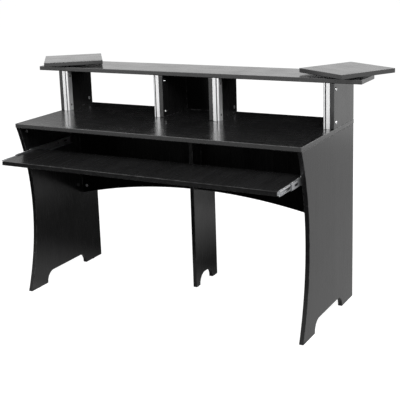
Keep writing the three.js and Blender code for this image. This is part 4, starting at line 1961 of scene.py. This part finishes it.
@dataclass
class Studio:
    """The floor, the light and the camera at the photograph's angle."""

    camera_place: Triple = (1.89345, -3.23365, 1.51436)
    azimuth: float = 30.859
    elevation: float = 13.111
    roll: float = -2.314
    lens: float = 82.305
    sensor: float = 36.0
    shift: Pair = (0.07594, -0.11706)
    floor_reach: float = 30.0
    floor_tone: Rgb = (0.4, 0.4, 0.4)
    floor_glow: float = 0.93
    ambient: float = 0.18
    aim: Triple = (0.0, 0.0, 0.6)

    def camera(self) -> None:
        """Places the camera: it looks along its azimuth and elevation and rolls about that line."""
        turn, lift, roll = (math.radians(a) for a in (self.azimuth, self.elevation, self.roll))
        ahead = Vector((-math.sin(turn) * math.cos(lift), math.cos(turn) * math.cos(lift), -math.sin(lift)))
        level = Vector((math.cos(turn), math.sin(turn), 0.0))
        upright = level.cross(ahead)
        right = level * math.cos(roll) + upright * math.sin(roll)
        up = right.cross(ahead)
        data = bpy.data.cameras.new("photo_camera")
        data.lens = self.lens
        data.sensor_width = self.sensor
        data.shift_x, data.shift_y = self.shift
        camera = bpy.data.objects.new("photo_camera", data)
        rotation = Matrix((right, up, -ahead)).transposed()
        camera.matrix_world = Matrix.Translation(self.camera_place) @ rotation.to_4x4()
        bpy.context.scene.collection.objects.link(camera)
        bpy.context.scene.camera = camera

    def sheet(self, name: str, corners: list[Triple], material: Material) -> bpy.types.Object:
        """Makes a flat stage sheet with four corners.

        Args:
            name: its name.
            corners: its corners, one after the other round it.
            material: its material.

        Returns:
            The sheet.
        """
        mesh = bpy.data.meshes.new(name)
        mesh.from_pydata(corners, [], [(0, 1, 2, 3)])
        mesh.materials.append(material)
        obj = bpy.data.objects.new(name, mesh)
        bpy.context.scene.collection.objects.link(obj)
        return obj

    def floor(self) -> None:
        """The pale floor: the camera sees paint that glows, so that it is white and keeps the desk's shadow.

        Glossy and transmission rays see plain white.
        """
        material, tree = blank_material("pale_floor")
        path = tree.add("LightPath")
        paint = tree.add("BsdfDiffuse", {"Color": self.floor_tone})
        strength = tree.math("MULTIPLY", path.outputs["Is Camera Ray"], self.floor_glow)
        glow = tree.add("Emission", {"Color": WHITE, "Strength": strength})
        seen = tree.add("AddShader", {0: paint.outputs[0], 1: glow.outputs[0]})
        white = tree.add("Emission", {"Color": WHITE, "Strength": 1.0})
        both = tree.add("MixShader", {0: tree.mirrored(path), 1: seen.outputs[0], 2: white.outputs[0]})
        tree.add("OutputMaterial", {"Surface": both.outputs[0]})
        self.sheet("floor", [(a, b, 0.0) for a, b in square(self.floor_reach)], material)

    def world(self) -> None:
        """White where the camera and reflections see it, and a plain ambient light on the desk."""
        world = bpy.data.worlds.new("studio_world")
        world.use_nodes = True
        world.node_tree.nodes.clear()
        tree = Tree(world.node_tree)
        path = tree.add("LightPath")
        seen = tree.math("MAXIMUM", path.outputs["Is Camera Ray"], tree.mirrored(path))
        strength = tree.span(seen, 0.0, 1.0, self.ambient, 1.0)
        back = tree.add("Background", {"Color": WHITE, "Strength": strength})
        tree.add("OutputWorld", {"Surface": back.outputs[0]})
        bpy.context.scene.world = world

    def flag(self, flag: Flag) -> None:
        """Sets up a flag with soft sides that only reflections see: a glowing sheet that paints shade into the
        desk's reflections.

        It covers fully where the largest share |a| / half size of any axis is under its core, and fades to
        nothing at 1.

        Args:
            flag: the flag.
        """
        material, tree = blank_material(flag.name)
        low, high = np.array(flag.low), np.array(flag.high)
        middle = (low + high) / 2
        reach = np.where(high > low, (high - low) / 2, 1.0)
        place = tree.add("TexCoord").outputs["Object"]
        share = tree.vector("MULTIPLY", tree.vector("SUBTRACT", place, tuple(middle)), tuple(1 / reach))
        size = tree.add("VectorMath", {0: share}, operation="ABSOLUTE").outputs[0]
        a, b, c = tree.add("SeparateXYZ", {0: size}).outputs
        widest = tree.math("MAXIMUM", tree.math("MAXIMUM", a, b), c)
        cover = tree.span(widest, flag.core, 1.0, 1.0, 0.0)
        # The sheet glows at its tone: painted shade, darker than the white that reflections see elsewhere.
        dark = tree.add("Emission", {"Color": WHITE, "Strength": flag.tone})
        clear = tree.add("BsdfTransparent")
        both = tree.add("MixShader", {0: cover, 1: clear.outputs[0], 2: dark.outputs[0]})
        tree.add("OutputMaterial", {"Surface": both.outputs[0]})
        sheet = self.sheet(flag.name, flag.corners(), material)
        sheet.visible_camera = False
        sheet.visible_diffuse = False
        sheet.visible_transmission = False
        sheet.visible_shadow = False

    def lamp(self, lamp: Lamp) -> None:
        """Hangs a lamp that faces the middle of the desk.

        Args:
            lamp: the lamp.
        """
        data = bpy.data.lights.new(lamp.name, "AREA")
        data.size = lamp.size
        data.energy = lamp.power
        obj = bpy.data.objects.new(lamp.name, data)
        obj.location = lamp.place
        towards = Vector(self.aim) - Vector(lamp.place)
        obj.rotation_euler = towards.to_track_quat("-Z", "Y").to_euler()
        bpy.context.scene.collection.objects.link(obj)

    def build(self) -> None:
        """Sets the stage."""
        self.camera()
        self.world()
        self.floor()
        for flag in FLAGS:
            self.flag(flag)
        for lamp in LAMPS:
            self.lamp(lamp)
        bpy.context.scene.view_settings.view_transform = "Standard"


def main() -> None:
    """Builds the desk's pieces in order."""
    logging.basicConfig(level=logging.INFO, format="%(message)s")
    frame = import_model()
    shop = Workshop(frame["record"])
    boards = Boards()
    Carcass(shop, boards).build()
    UpperBays(shop, boards).build()
    RackRails(shop).build()
    CamFittings(shop, boards).build()
    Glides(shop).build()
    KeyboardTray(shop, boards).build()
    for side in Side:
        SpeakerPlatform(shop, boards, side).build()
    Studio().build()


if __name__ == "__main__":
    main()
